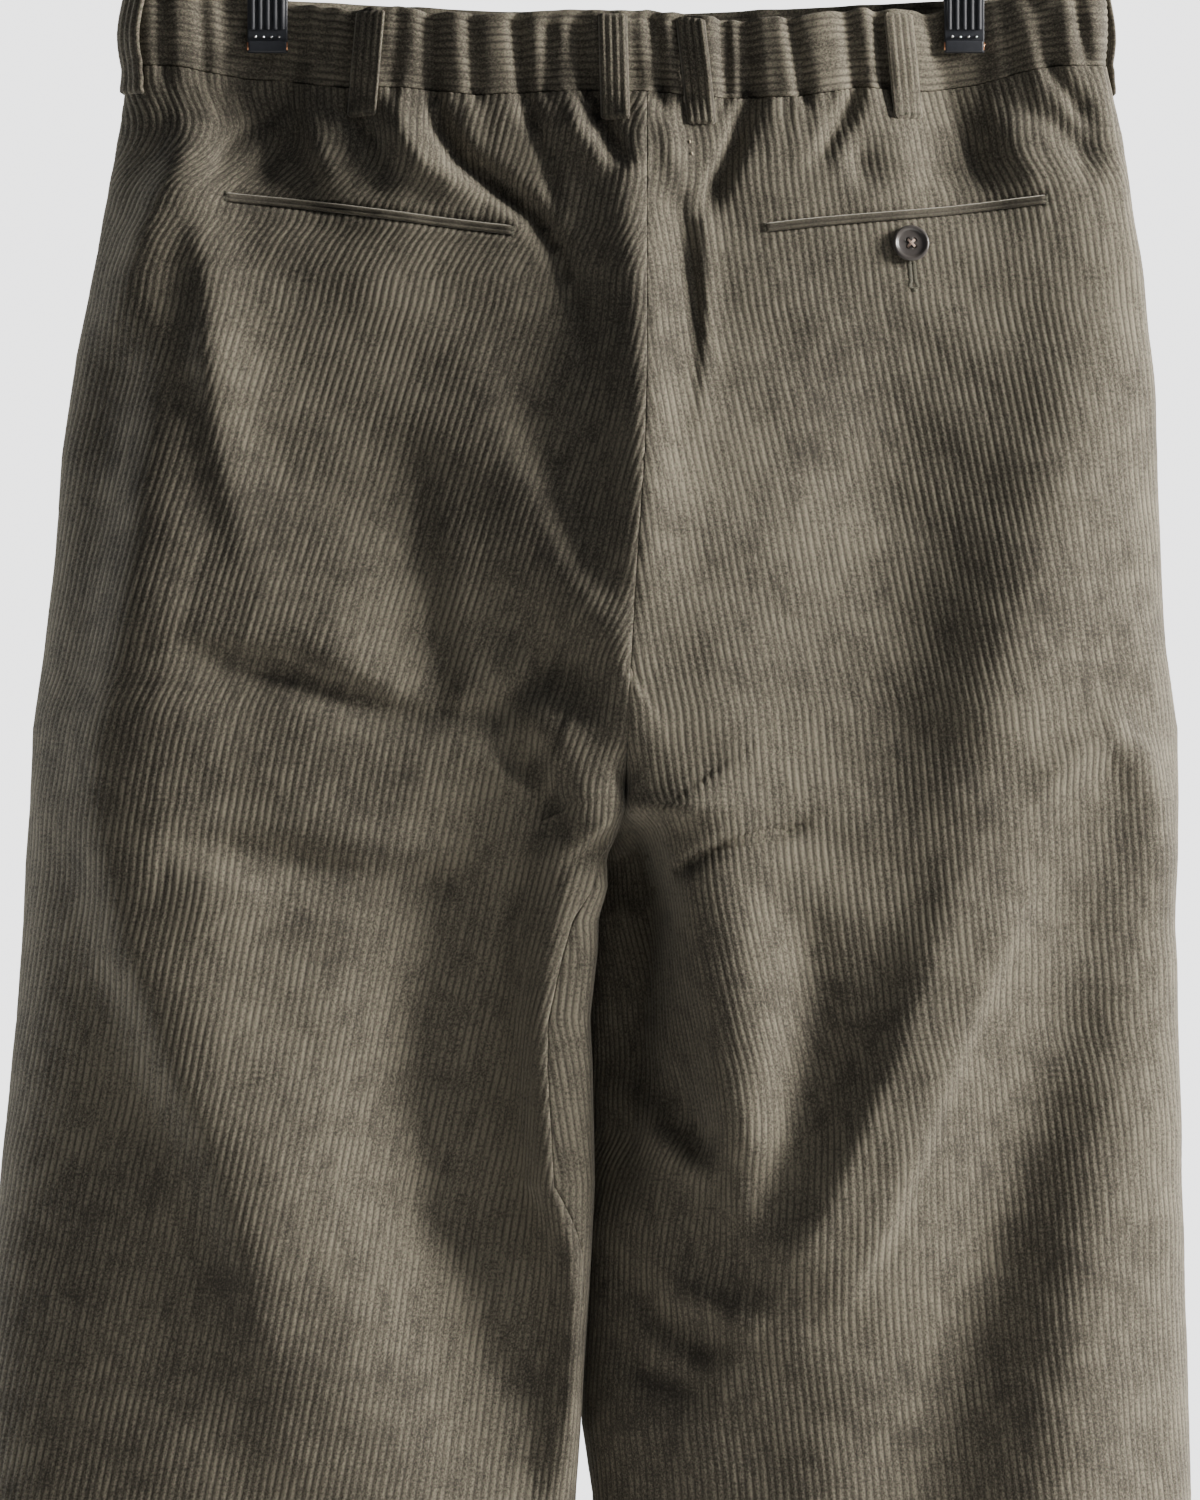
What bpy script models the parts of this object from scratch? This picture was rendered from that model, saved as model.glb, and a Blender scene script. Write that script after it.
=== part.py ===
"""Wide corduroy trousers hung by their elastic back waistband from a clip hanger.

Row frame: +Z up, -Y the side that faces the room (the trousers' back), +X the wearer's right.
The origin is the point where the hook bears on its rail. Each cloth piece is a loft through
rings around one leg: a ring runs from the side seam, round the back or the front, to the
centre seam, and below the crotch on to the inner leg seam.
"""

import math

import bmesh
import bpy
import numpy as np
from mathutils import Matrix, Vector
from mathutils.bvhtree import BVHTree

MM = 0.001

# ---- driving sizes, mm ----
WALL = 1.7  # corduroy, pile and ground together
SEAM_GAP = 0.3
WAIST_GAP = 0.6  # the band's gathers and the panel's are not cut alike
LAY_GAP = 0.35  # under whatever lies on a panel
BAND_HEIGHT = 34.0
BAND_TOP_Z = -118.0  # the band's top edge at the clips
CLIP_X = 147.5
CLIP_WIDTH = 17.0
SEAM_DROP = 38.0  # the band's lower seam, on average below BAND_TOP_Z
TURN_DROP = 298.0  # here the centre seam starts to curve in under the seat
CROTCH_DROP = 341.0
RING_STEPS = 240
TURN_POWER = 3.0  # the more, the sooner the section takes the legs' form
TURN_EASE = 1.5  # over 1 lets that start slowly
INNER_STILL = 0.055  # share of a ring, at the inner edge, that has no folds below the crotch
INNER_BEND = 6.0  # the more, the nearer to the inner edge the section leans
SQUARENESS = 0.8  # under 1 flattens the back and front of a ring
PINCH = 0.86  # share of the depth that the clips take away
PINCH_REACH = 30.0
PINCH_START = 36.0  # below this drop the cloth opens again,
PINCH_FADE = 74.0  # over this length
BUTTON_DIAMETER = 15.5
LOOP_WIDTH = 12.0
LOOP_THICK = 1.4

BAND_ROWS = 4
BAND_COLUMNS = 50  # to each half of the gathered back
FRONT_BAND_COLUMNS = 20
FLY_X = 13.0  # the centre front seam
FLY_WIDTH = 40.0
FLY_OVER = 5.0
FLY_LENGTH = 165.0
FLY_THICK = 1.2
FLY_LIFT = 0.25
FLY_ROWS = 22
TAB_LAP = 34.0
TAB_LIFT = 2.6
LOOP_FOOT = 12.0
LOOP_SLACK = 2.2  # how far its middle stands off the band
LOOP_ROUND = 1.5
JET_HEIGHT = 4.2
JET_THICK = 1.2
JET_STEP = 2.5
HOOK_RADIUS = 20.0
HOOK_WIRE = 3.6
HOOK_FOOT_Z = -80.0
BAR_Z = -88.0
BAR_RADIUS = 2.5
BAR_HALF = 172.0
BOSS_RADIUS = 5.5
BOSS_HEIGHT = 24.0
BLOCK_RISE = 5.0
JAW_THICK = 2.6
JAW_TOP_Z = -93.5
JAW_FOOT_Z = -140.0
JAW_RIBS = 5

SIDES = {"left": -1, "right": 1}
FACES = {"back": -1, "front": 1}

# drop, outer edge x, inner edge x, inner edge y, turn of the inner leg seam to the back in
# degrees, squareness of the back's and of the front's half towards the other leg
OUTLINE = {
    "left": [
        (0, -203, 13, 0, 0, 0.8, 0.8), (38, -207, 13, 0, 0, 0.8, 0.8), (65, -211, 13, 0, 0, 0.8, 0.8),
        (107, -219.5, 13, 0, 0, 0.8, 0.8), (149, -228.5, 13, 0, 0, 0.8, 0.8), (191, -234.8, 12, 0, 0, 0.8, 0.8),
        (233, -237.5, 9, 0, 0, 0.8, 0.8), (275, -242.3, 6.5, 0, 0, 0.6, 0.6), (308, -247, 4.8, 0, 0, 0.3, 0.4),
        (341, -248.2, 4, 0, 0, 0.25, 0.4), (350, -249, 1.5, -5, 2, 0.25, 0.6), (362, -250, -4, -13, 10, 0.26, 0.7),
        (375, -250.5, -3.6, -15, 18, 0.27, 0.7), (388, -251, -7.4, -16, 24, 0.28, 0.7), (402, -252, -7.8, -16, 28, 0.29, 0.7),
        (430, -254, -11, -16, 31, 0.3, 0.7), (450, -256, -10, -16, 32, 0.3, 0.7), (500, -261, -9, -15, 30, 0.35, 0.7),
        (530, -264.5, -10.5, -13, 12, 0.38, 0.7), (570, -268.5, -13, -12, 7, 0.42, 0.7), (603, -272, -15, -11, 3, 0.45, 0.7),
        (632, -275.5, -17, -10, 0, 0.5, 0.7), (800, -281, -23, -8, 0, 0.65, 0.75), (1000, -273, -32, 0, 0, 0.8, 0.8),
    ],
    "right": [
        (0, 199, 13, 0, 0, 0.8, 0.8), (38, 208, 13, 0, 0, 0.8, 0.8), (65, 214.5, 13, 0, 0, 0.8, 0.8),
        (107, 219.7, 13, 0, 0, 0.8, 0.8), (149, 224.6, 13, 0, 0, 0.8, 0.8), (191, 228.6, 12, 0, 0, 0.8, 0.8),
        (233, 230.2, 9, 0, 0, 0.8, 0.8), (275, 233, 6.5, 0, 0, 0.6, 0.6), (308, 238, 4.8, 0, 0, 0.3, 0.4),
        (341, 238.2, 4, 0, 0, 0.3, 0.4), (350, 238, 2.5, 12, 0, 0.38, 0.5), (364, 237.5, -6, 27, 0, 0.44, 0.8),
        (392, 236.6, -12, 33, 0, 0.5, 0.9), (440, 238, -15, 32, 0, 0.56, 0.9), (500, 239.5, -14, 27, 0, 0.6, 0.9),
        (530, 240.5, -14.5, 24, 0, 0.65, 0.9), (570, 242, -15, 18, 0, 0.7, 0.9), (603, 243, -14.5, 12, 0, 0.7, 0.9),
        (632, 243.8, -10, 9, 0, 0.7, 0.85), (700, 244, -6, 7, 0, 0.7, 0.8), (800, 244, 0, 5, 0, 0.7, 0.8),
        (1000, 241, 10, 0, 0, 0.8, 0.8),
    ],
}

# drop, depth of the back from the side seam's plane, depth of the front
DEPTH = [
    (0, 24, 22), (38, 25, 22), (90, 34, 28), (150, 42, 34), (230, 50, 38), (314, 53, 41), (341, 53, 42),
    (450, 49, 42), (700, 46, 42), (1000, 46, 43),
]

# x, drop of the back waist seam below BAND_TOP_Z: the elastic sags between the clips
WAIST_SEAM = [
    (-207, 27), (-196, 28), (-175, 32.5), (-145, 33.5), (-114, 37.5), (-91, 37.5), (-58, 41),
    (-20, 39), (14, 39.5), (48, 42.5), (77, 41.5), (102, 37.5), (132, 38.5), (161, 34.3),
    (186, 29.7), (208, 27),
]

# Each back fold is (reach on its left, reach on its right, [(x, drop, height) ...]) for a path
# that runs down; one that runs to the right has its reaches below and above. A valley's height
# is under 0. The first are the gathers that the elastic makes.
BACK_FOLDS = [
    (3, 3, [(-192, -3, -2), (-191, 27, -3), (-189, 37, 0)]),
    (3, 3, [(-175, -3, -2), (-173, 34, -3), (-169, 49, 0)]),
    (3, 4, [(-165, -2, -2.5), (-165, 38, -3), (-169, 52, 0)]),
    (3, 5, [(-137, 1, -3), (-136, 32, -5), (-143, 44, -8), (-155, 55, -8), (-165, 64, -6), (-172, 80, 0)]),
    (3, 3, [(-124, 2, -2.5), (-125, 34, -2.5), (-122, 43, 0)]),
    (4, 6, [(-113, 2, -3), (-115, 34, -3), (-113, 47, -5), (-104, 60, -6), (-100, 73, -4), (-103, 86, 0)]),
    (3, 3, [(-92, 5, -2), (-93, 37, -2), (-94, 44, 0)]),
    (4, 5, [(-79, 5, -4), (-78, 39, -5), (-75, 53, -8), (-66, 68, -10), (-50, 80, -12), (-35, 92, -11), (-25, 107, -8), (-16, 132, -4), (-11, 170, 0)]),
    (3, 3, [(-61, 9, -2), (-59, 41, -2.5), (-61, 47, 0)]),
    (3, 4, [(-42, 10, -3.5), (-39, 41, -4), (-35, 54, -6), (-29, 68, -6), (-27, 82, -3), (-25, 96, 0)]),
    (3, 3, [(-28, 12, -2), (-29, 40, -2), (-27, 46, 0)]),
    (4, 4, [(-16, 12, -3.5), (-13, 37, -5), (-8, 49, -7), (-1, 62, -6), (5, 72, 0)]),
    (3, 3, [(15, 8, -3), (19, 41, -3), (22, 53, 0)]),
    (4, 4, [(27, 10, -4), (31, 40, -4), (35, 55, 0)]),
    (3, 3, [(45, 7, -3), (47, 38, -3), (44, 49, 0)]),
    (4, 5, [(54, 6, -4), (56, 42, -6), (50, 61, -7), (42, 78, -6), (36, 95, 0)]),
    (3, 3, [(73, 6, -3), (79, 40, -3), (82, 47, 0)]),
    (4, 5, [(97, 5, -3.5), (101, 38, -4), (95, 52, -5), (87, 65, -3), (82, 73, 0)]),
    (3, 4, [(110, 3, -3.5), (114, 34, -4), (118, 49, 0)]),
    (3, 5, [(130, 0, -3), (138, 27, -3.5), (142, 41, -4), (146, 55, -6), (151, 68, -6), (155, 83, 0)]),
    (3, 3, [(163, -1, -2), (167, 28, -2), (171, 38, 0)]),
    (4, 5, [(176, -3, -3), (183, 24, -3.5), (188, 35, -4), (197, 47, -4), (205, 59, 0)]),
    (3, 3, [(194, -3, -2), (200, 24, -2), (203, 34, 0)]),
    (6, 9, [(-131, 37, 3), (-128, 51, 8), (-123, 65, 8), (-118, 81, 2)]),
    (4, 4, [(-150, 34, -3), (-147, 50, -5), (-146, 66, -5), (-148, 82, 0)]),
    (8, 7, [(-95, 41, 2), (-90, 57, 6), (-82, 69, 7), (-69, 78, 5), (-53, 85, 0)]),
    (7, 6, [(-21, 41, 2), (-17, 53, 5), (-9, 67, 4), (-4, 76, 0)]),
    (7, 7, [(10, 46, 2), (10, 65, 4), (8, 82, 0)]),
    (8, 6, [(20, 49, 3), (24, 66, 5), (27, 84, 0)]),
    (8, 9, [(119, 52, 1), (122, 68, 4), (125, 84, 0)]),
    (5, 7, [(106, 54, -1), (103, 69, -4), (106, 84, 0)]),
    (8, 8, [(155, 39, 2), (162, 51, 5), (171, 66, 5), (181, 81, 0)]),
    (6, 9, [(161, 43, 0), (176, 47, -4), (187, 53, -6), (196, 63, -6), (200, 82, 0)]),
    (12, 19, [(-164, 41, 4), (-175, 58, 9), (-186, 80, 11), (-196, 103, 10), (-205, 131, 7), (-215, 154, 0)]),
    (17, 42, [(-183, 112, 0), (-186, 153, 8), (-191, 197, 11), (-196, 237, 12), (-202, 277, 12), (-210, 312, 10), (-212, 338, 9), (-207, 368, 10), (-198, 401, 11), (-186, 435, 11), (-171, 469, 11), (-158, 506, 10), (-149, 544, 8), (-139, 582, 5), (-131, 624, 0)]),
    (9, 13, [(-174, 82, 1), (-172, 109, 5), (-169, 145, 6), (-165, 178, 5), (-159, 216, 3), (-151, 246, 0)]),
    (8, 42, [(-179, 264, 0), (-154, 271, 5), (-122, 280, 7), (-93, 293, 6), (-72, 298, 0)]),
    (9, 6, [(-185, 274, 0), (-168, 278, -3), (-152, 280, -5), (-133, 283, -6), (-116, 291, -6), (-99, 298, -6), (-82, 302, -6), (-65, 303, -5), (-49, 299, -5), (-35, 288, -5), (-24, 272, 0)]),
    (22, 11, [(-90, 176, 0), (-86, 204, -3), (-83, 235, -6), (-79, 266, -8), (-76, 292, -7), (-73, 306, 0)]),
    (26, 12, [(-68, 149, 0), (-49, 185, 5), (-36, 212, 8), (-25, 237, 9), (-14, 257, 8), (-3, 273, 3)]),
    (12, 12, [(-42, 257, -1), (-29, 274, -6), (-15, 292, -8), (-6, 306, -4)]),
    (9, 14, [(-37, 288, 2), (-30, 306, 6), (-24, 324, 8), (-18, 339, 6), (-12, 356, 0)]),
    (10, 7, [(-46, 307, -2), (-34, 321, -6), (-26, 338, -7), (-24, 357, 0)]),
    (4, 4, [(-69, 318, 0), (-53, 323, 2.5), (-42, 330, 3), (-29, 337, 0)]),
    (11, 14, [(-191, 359, 0), (-162, 363, -4), (-133, 367, -6), (-108, 372, -6), (-78, 372, -6), (-54, 368, 0)]),
    (20, 6, [(-187, 367, 0), (-169, 371, 4), (-155, 376, 4), (-146, 390, 0)]),
    (46, 14, [(-34, 338, -2), (-44, 363, -12), (-50, 393, -18), (-51, 422, -21), (-49, 456, -22), (-46, 485, -22), (-42, 512, -20), (-36, 544, -16), (-35, 582, -13), (-38, 619, -9), (-42, 674, 0)]),
    (14, 30, [(-92, 366, 0), (-90, 396, -6), (-88, 430, -9), (-86, 470, -10), (-80, 510, -9), (-72, 550, -7), (-62, 592, -5), (-56, 640, 0)]),
    (8, 11, [(-10, 359, 3), (-18, 393, 6), (-19, 422, 8), (-18, 456, 8), (-19, 485, 8), (-21, 504, 7), (-12, 527, 6), (-13, 561, 5), (-17, 603, 2), (-19, 640, 0)]),
    (40, 40, [(-120, 477, 0), (-113, 527, 4), (-98, 569, 6), (-86, 611, 6), (-78, 657, 4), (-74, 724, 0)]),
    (15, 15, [(1, 58, 3), (4, 82, 8), (8, 111, 11), (10, 141, 12), (11, 170, 12), (11, 197, 11), (10, 225, 8), (9, 254, 4), (8, 283, 0)]),
    (26, 66, [(6, 120, 0), (8, 180, 7), (9, 230, 13), (8, 275, 14), (8, 308, 14), (9, 332, 14), (13, 352, 13), (17, 372, 10), (21, 400, 5), (25, 430, 0)]),
    (34, 34, [(104, 120, 0), (112, 190, -5), (116, 250, -6), (112, 310, -4), (106, 350, 0)]),
    (8, 3.5, [(23, 79, 0), (24, 92, -4), (27, 111, -5), (30, 132, -4), (32, 152, 0)]),
    (4, 4, [(34, 73, 0), (35, 94, 3), (36, 120, 4), (36, 149, 3.5), (34, 174, 1), (30, 191, 0)]),
    (10, 9, [(18, 283, 0), (28, 304, -1.5), (35, 322, -1.5), (42, 333, -1), (48, 342, 0)]),
    (30, 38, [(203, 44, 2), (207, 78, 7), (205, 107, 9), (201, 136, 11), (194, 166, 13), (186, 193, 14), (180, 221, 14), (174, 250, 13), (166, 279, 11), (157, 309, 9), (147, 339, 6), (137, 372, 0)]),
    (9, 9, [(174, 343, 0), (183, 327, 3), (195, 317, 5), (208, 312, 6), (219, 320, 6), (225, 338, 5), (227, 363, 3), (224, 393, 0)]),
    (28, 16, [(205, 325, -2), (205, 351, -7), (203, 380, -8), (201, 409, -7), (196, 443, -8), (189, 472, -9), (182, 502, -9), (174, 531, -9), (164, 561, -9), (155, 590, -8), (149, 619, -7), (141, 657, -4), (135, 712, 0)]),
    (20, 20, [(213, 351, 2), (215, 380, 5), (215, 414, 6), (213, 447, 7), (208, 481, 7), (202, 511, 7), (196, 544, 6), (191, 577, 5), (186, 615, 4), (181, 661, 2), (176, 716, 0)]),
    (16, 30, [(157, 353, 0), (145, 380, 6), (135, 405, 9), (126, 431, 12), (116, 456, 14), (103, 485, 15), (91, 510, 14), (78, 531, 12), (66, 550, 8), (54, 569, 4), (42, 594, 0)]),
    (12, 5, [(178, 363, 0), (163, 398, 3), (150, 425, 4), (140, 449, 4), (131, 472, 4), (121, 498, 4), (110, 523, 3), (97, 544, 2), (82, 558, 0)]),
    (12, 36, [(17, 338, 0), (22, 350, 4), (25, 360, 10), (28, 370, 15), (31, 388, 20), (35, 409, 23), (40, 435, 25), (45, 460, 24), (49, 485, 21), (53, 503, 16), (57, 519, 9), (62, 540, 0)]),
    (16, 11, [(4, 343, 0), (7, 350, -10), (9, 362, -18), (8, 384, -20), (7, 412, -18), (5, 446, -12), (3, 480, -7), (1, 512, 0)]),
    (14, 14, [(56, 367, 0), (75, 393, -4), (82, 422, -7), (81, 456, -8), (76, 481, -8), (70, 503, -6), (63, 525, 0)]),
    (3.5, 2.5, [(26, 367, -5), (35, 361, -5), (45, 357, -4), (56, 354, -3), (70, 351, -2), (84, 346, 0)]),
    (10, 10, [(8, 441, -3), (22, 462, -8), (35, 481, -10), (45, 493, -4)]),
    (8, 8, [(4, 461, 2), (18, 479, 5), (33, 492, 6), (45, 499, 1)]),
    (8, 8, [(-3, 530, -2), (10, 545, -5), (21, 557, -6), (35, 567, -6), (50, 573, 0)]),
    (6, 7, [(19, 539, 1), (35, 548, 5), (50, 556, 4), (62, 564, 0)]),
    (7, 7, [(-6, 560, -2), (10, 577, -5), (31, 585, -4), (42, 591, 0)]),
]

# The front hangs plainly from the clips.
FRONT_FOLDS = [
    (5, 6, [(-170, 0, -2), (-172, 40, -3), (-178, 90, 0)]),
    (6, 7, [(-122, 0, -3), (-118, 40, -4), (-108, 80, -3), (-96, 130, 0)]),
    (6, 7, [(-82, 4, -2), (-80, 40, -3), (-74, 80, 0)]),
    (7, 7, [(-40, 6, -2), (-40, 40, -3), (-38, 90, 0)]),
    (6, 7, [(62, 6, -2), (64, 40, -3), (60, 85, 0)]),
    (6, 7, [(104, 2, -2), (100, 40, -4), (92, 84, -3), (84, 130, 0)]),
    (5, 6, [(168, 0, -2), (172, 40, -3), (178, 92, 0)]),
    (26, 34, [(-190, 150, 0), (-186, 280, 7), (-182, 420, 9), (-190, 600, 6), (-200, 860, 0)]),
    (24, 30, [(-104, 180, 0), (-96, 330, 5), (-92, 480, 7), (-100, 700, 6), (-110, 1040, 3)]),
    (24, 30, [(186, 150, 0), (182, 280, 8), (170, 420, 9), (168, 600, 7), (172, 860, 0)]),
    (26, 24, [(92, 180, 0), (88, 330, 6), (86, 480, 7), (94, 700, 6), (104, 1040, 3)]),
    (12, 14, [(-60, 330, 0), (-52, 400, -5), (-58, 500, -6), (-70, 620, 0)]),
    (12, 14, [(62, 330, 0), (56, 400, -5), (60, 500, -6), (70, 620, 0)]),
]

# x of the belt loops' centres at the waist seam, face and lean (x of the foot less x of the top)
BACK_LOOPS = [(-105.5, 0.0), (-0.5, 1.0), (33.5, 2.5), (121.5, 0.0)]
FRONT_LOOPS = [(-98.0, 0.0), (98.0, 0.0)]

# x and drop of each pocket mouth's ends and middle, along its upper line
POCKET_MOUTHS = {
    "left": [(-165, 81.5), (-90, 90), (-43, 96.5)],
    "right": [(62, 95.5), (118, 89.5), (182, 83)],
}
POCKET_BUTTON = (124.0, 104.0)

ROWS = [
    38, 50, 64, 80, 98, 118, 140, 162, 186, 210, 234, 254, 270, 284, 298, 308, 317, 325, 333, 341, 350, 357, 364,
    380, 400, 426, 456, 488, 522, 560, 600, 645, 700, 764, 834, 904, 960, 1000,
]
# the least and the most that two columns of a panel stand apart, as shares of a ring
COLUMN_SPAN = {"back": (0.024, 0.055), "front": (0.055, 0.13)}


def column(table, key, value, at):
    """One column of a table, read at a place in its key column."""
    rows = np.array(table, float)
    return np.interp(at, rows[:, key], rows[:, value])


def ease(t):
    t = np.clip(t, 0.0, 1.0)
    return t * t * (3 - 2 * t)


def relief(folds, x, drop, least_reach=5.5):
    """Height of the folds over the plain ring, at places given as arrays."""
    total = np.zeros_like(x)
    for left_reach, right_reach, path in folds:
        nearest = np.full(x.shape, np.inf)
        height, side = np.zeros_like(x), np.ones_like(x)
        for (x0, d0, h0), (x1, d1, h1) in zip(path, path[1:]):
            run, fall = x1 - x0, d1 - d0
            share = np.clip(((x - x0) * run + (drop - d0) * fall) / (run * run + fall * fall), 0, 1)
            off_x, off_drop = x - x0 - share * run, drop - d0 - share * fall
            away = np.hypot(off_x, off_drop)
            nearer = away < nearest
            nearest = np.where(nearer, away, nearest)
            right = fall * off_x - run * off_drop > 0
            side = np.where(nearer, np.where(right, right_reach, left_reach), side)
            height = np.where(nearer, h0 + share * (h1 - h0), height)
        total += height * np.exp(-((nearest / np.maximum(side, least_reach)) ** 2))
    return total


def pinch(x, drop):
    """Share of the depth that is left where the clips press back and front together."""
    near = np.exp(-(((np.abs(x) - CLIP_X) / PINCH_REACH) ** 2))
    return 1 - PINCH * near * (1 - ease((drop - PINCH_START) / PINCH_FADE))


def ring(side, face, drop, shares):
    """Points (x, y), outward normals and the turn past the centre, at shares of the ring's length."""
    sign = SIDES[side]
    outer = column(OUTLINE[side], 0, 1, drop)
    inner = column(OUTLINE[side], 0, 2, drop)
    below = min(max((drop - TURN_DROP) / (CROTCH_DROP - TURN_DROP), 0.0), 1.0)
    turn = 1 - (1 - below ** TURN_EASE) ** TURN_POWER
    inner_y, seam_turn = column(OUTLINE[side], 0, 3, drop), math.radians(column(OUTLINE[side], 0, 4, drop))
    end = math.pi / 2 * (1 + turn)
    half = abs(outer - inner) / (1 - math.cos(end))
    stop = end + FACES[face] * seam_turn
    angle = np.append(np.linspace(0, stop, RING_STEPS), stop + stop / RING_STEPS)
    x = outer - sign * half * (1 - np.cos(angle))
    own, other = (1, 2) if face == "back" else (2, 1)
    reach = np.where(angle > math.pi, -column(DEPTH, 0, other, drop), column(DEPTH, 0, own, drop))
    own_power, other_power = (column(OUTLINE[side], 0, 4 + part, drop) for part in (own, other))
    power = np.where(angle > math.pi, other_power, np.where(angle < math.pi / 2, SQUARENESS, own_power))
    y = FACES[face] * reach * np.abs(np.sin(angle)) ** power * pinch(x, drop)
    y += inner_y * ((1 - np.cos(angle)) / 2) ** INNER_BEND
    length = np.concatenate([[0], np.cumsum(np.hypot(np.diff(x), np.diff(y)))])
    at = np.asarray(shares) * length[-2]
    x_at, y_at = np.interp(at, length, x), np.interp(at, length, y)
    step = length[-1] - length[-2]
    run_x = np.interp(at + step, length, x) - np.interp(at - step, length, x)
    run_y = np.interp(at + step, length, y) - np.interp(at - step, length, y)
    spin = sign * FACES[face]
    normal = np.stack([spin * run_y, -spin * run_x], 1)
    normal /= np.linalg.norm(normal, axis=1)[:, None]
    return np.stack([x_at, y_at], 1), normal, turn


def share_at(side, face, drop, x):
    """The share of a torso ring's length at which it reaches each x."""
    shares = np.linspace(0, 1, 401)
    points, _, _ = ring(side, face, drop, shares)
    order = np.argsort(points[:, 0])
    return np.interp(x, points[order, 0], shares[order])


def seam_shift(x, drop, face):
    """The waist seam's own fall at x, spent in the first rows below it."""
    if face == "front":
        fall = np.full_like(x, -5.0) + 5 * np.exp(-((x / 90) ** 2))
    else:
        fall = column(WAIST_SEAM, 0, 1, x) - SEAM_DROP
    ends = ease((np.abs(x) - 150) / 50)
    fall = fall * (1 - ends) - 10.5 * ends
    return fall * (1 - ease((drop - SEAM_DROP) / 110))


def cloth_row(side, face, drop, shares, extra_drop=0.0):
    """One row of a panel's outer surface, folded, in mm; extra_drop places the band's rows."""
    shares = np.asarray(shares, float)
    plain, normal, turn = ring(side, face, drop, shares)
    x = plain[:, 0]
    shift = seam_shift(x, drop, face) + extra_drop
    folds = BACK_FOLDS if face == "back" else FRONT_FOLDS
    height = relief(folds, x, drop + shift)
    height *= ease(shares / 0.07) * (1 - turn * (1 - ease((1 - shares) / INNER_STILL)))
    height *= 1 - 0.85 * (1 - pinch(x, drop)) / PINCH
    straight = ease((shares - 0.35) / 0.3)[:, None]
    aim = normal * (1 - straight) + np.array([0.0, FACES[face]]) * straight
    aim /= np.linalg.norm(aim, axis=1)[:, None]
    points = plain + aim * height[:, None]
    points[shares == 0, 1] = 0.0
    z = BAND_TOP_Z - drop - shift
    return np.column_stack([points, z])


def outward(grid, like):
    """Unit normals of a grid of points, turned to the same side as the vectors in like."""
    along = np.gradient(grid, axis=1)
    down = np.gradient(grid, axis=0)
    normal = np.cross(along, down)
    normal /= np.linalg.norm(normal, axis=2)[:, :, None]
    return normal * np.sign((normal * like).sum(axis=2).mean())


def loft(name, grid, wall, like, flat_ends=(None, None), steady=None, last_normals=None):
    """A wall through the rows of a grid: the rows' outer points and the same moved in by wall.

    At a seam the wall stands square: flat_ends names the axis that the first and the last
    column's normals leave out, and last_normals gives the last column's where it isn't nan.
    """
    normal = outward(grid, like) if steady is None else np.broadcast_to(steady, grid.shape).copy()
    for column_index, axis in zip((0, -1), flat_ends):
        if axis is not None:
            normal[:, column_index, axis] = 0
    if last_normals is not None:
        known = ~np.isnan(last_normals[:, 0])
        normal[known, -1] = last_normals[known]
    if steady is None:
        normal[(0, -1), :, 2] = 0
    normal /= np.linalg.norm(normal, axis=2)[:, :, None]
    inner = grid - normal * wall
    rows, columns = grid.shape[:2]
    mesh = bpy.data.meshes.new(name)
    work = bmesh.new()
    sheets = [
        [[work.verts.new(Vector(point) * MM) for point in row] for row in sheet]
        for sheet in (grid, inner)
    ]
    for r in range(rows - 1):
        for c in range(columns - 1):
            for sheet in sheets:
                corners = (sheet[r][c], sheet[r][c + 1], sheet[r + 1][c + 1], sheet[r + 1][c])
                work.faces.new((corners[0], corners[1], corners[2]))
                work.faces.new((corners[0], corners[2], corners[3]))
    edge = [(0, c) for c in range(columns)] + [(r, columns - 1) for r in range(1, rows)]
    edge += [(rows - 1, c) for c in range(columns - 2, -1, -1)] + [(r, 0) for r in range(rows - 2, 0, -1)]
    for (r0, c0), (r1, c1) in zip(edge, edge[1:] + edge[:1]):
        work.faces.new((sheets[0][r0][c0], sheets[0][r1][c1], sheets[1][r1][c1], sheets[1][r0][c0]))
    bmesh.ops.recalc_face_normals(work, faces=work.faces)
    work.to_mesh(mesh)
    work.free()
    return mesh


def material(name, colour, roughness, metallic=0.0):
    made = bpy.data.materials.new(name)
    made.use_nodes = True
    shader = made.node_tree.nodes["Principled BSDF"]
    shader.inputs["Base Color"].default_value = (*colour, 1)
    shader.inputs["Roughness"].default_value = roughness
    shader.inputs["Metallic"].default_value = metallic
    return made


def place(name, mesh, look):
    """A named object in the trousers' collection."""
    mesh.materials.clear()
    mesh.materials.append(look)
    made = bpy.data.objects.new(name, mesh)
    TROUSERS.objects.link(made)
    return made


def baked(source):
    """A piece's evaluated mesh, in place, welded; the piece itself goes."""
    bpy.context.view_layer.update()
    seen = source.evaluated_get(bpy.context.evaluated_depsgraph_get())
    mesh = bpy.data.meshes.new_from_object(seen)
    mesh.transform(source.matrix_world)
    work = bmesh.new()
    work.from_mesh(mesh)
    bmesh.ops.remove_doubles(work, verts=work.verts, dist=1e-6)
    bmesh.ops.recalc_face_normals(work, faces=work.faces)
    work.to_mesh(mesh)
    work.free()
    bpy.data.objects.remove(source, do_unlink=True)
    return mesh


# ---- the four panels, each from the waist seam to the hem ----


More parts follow.
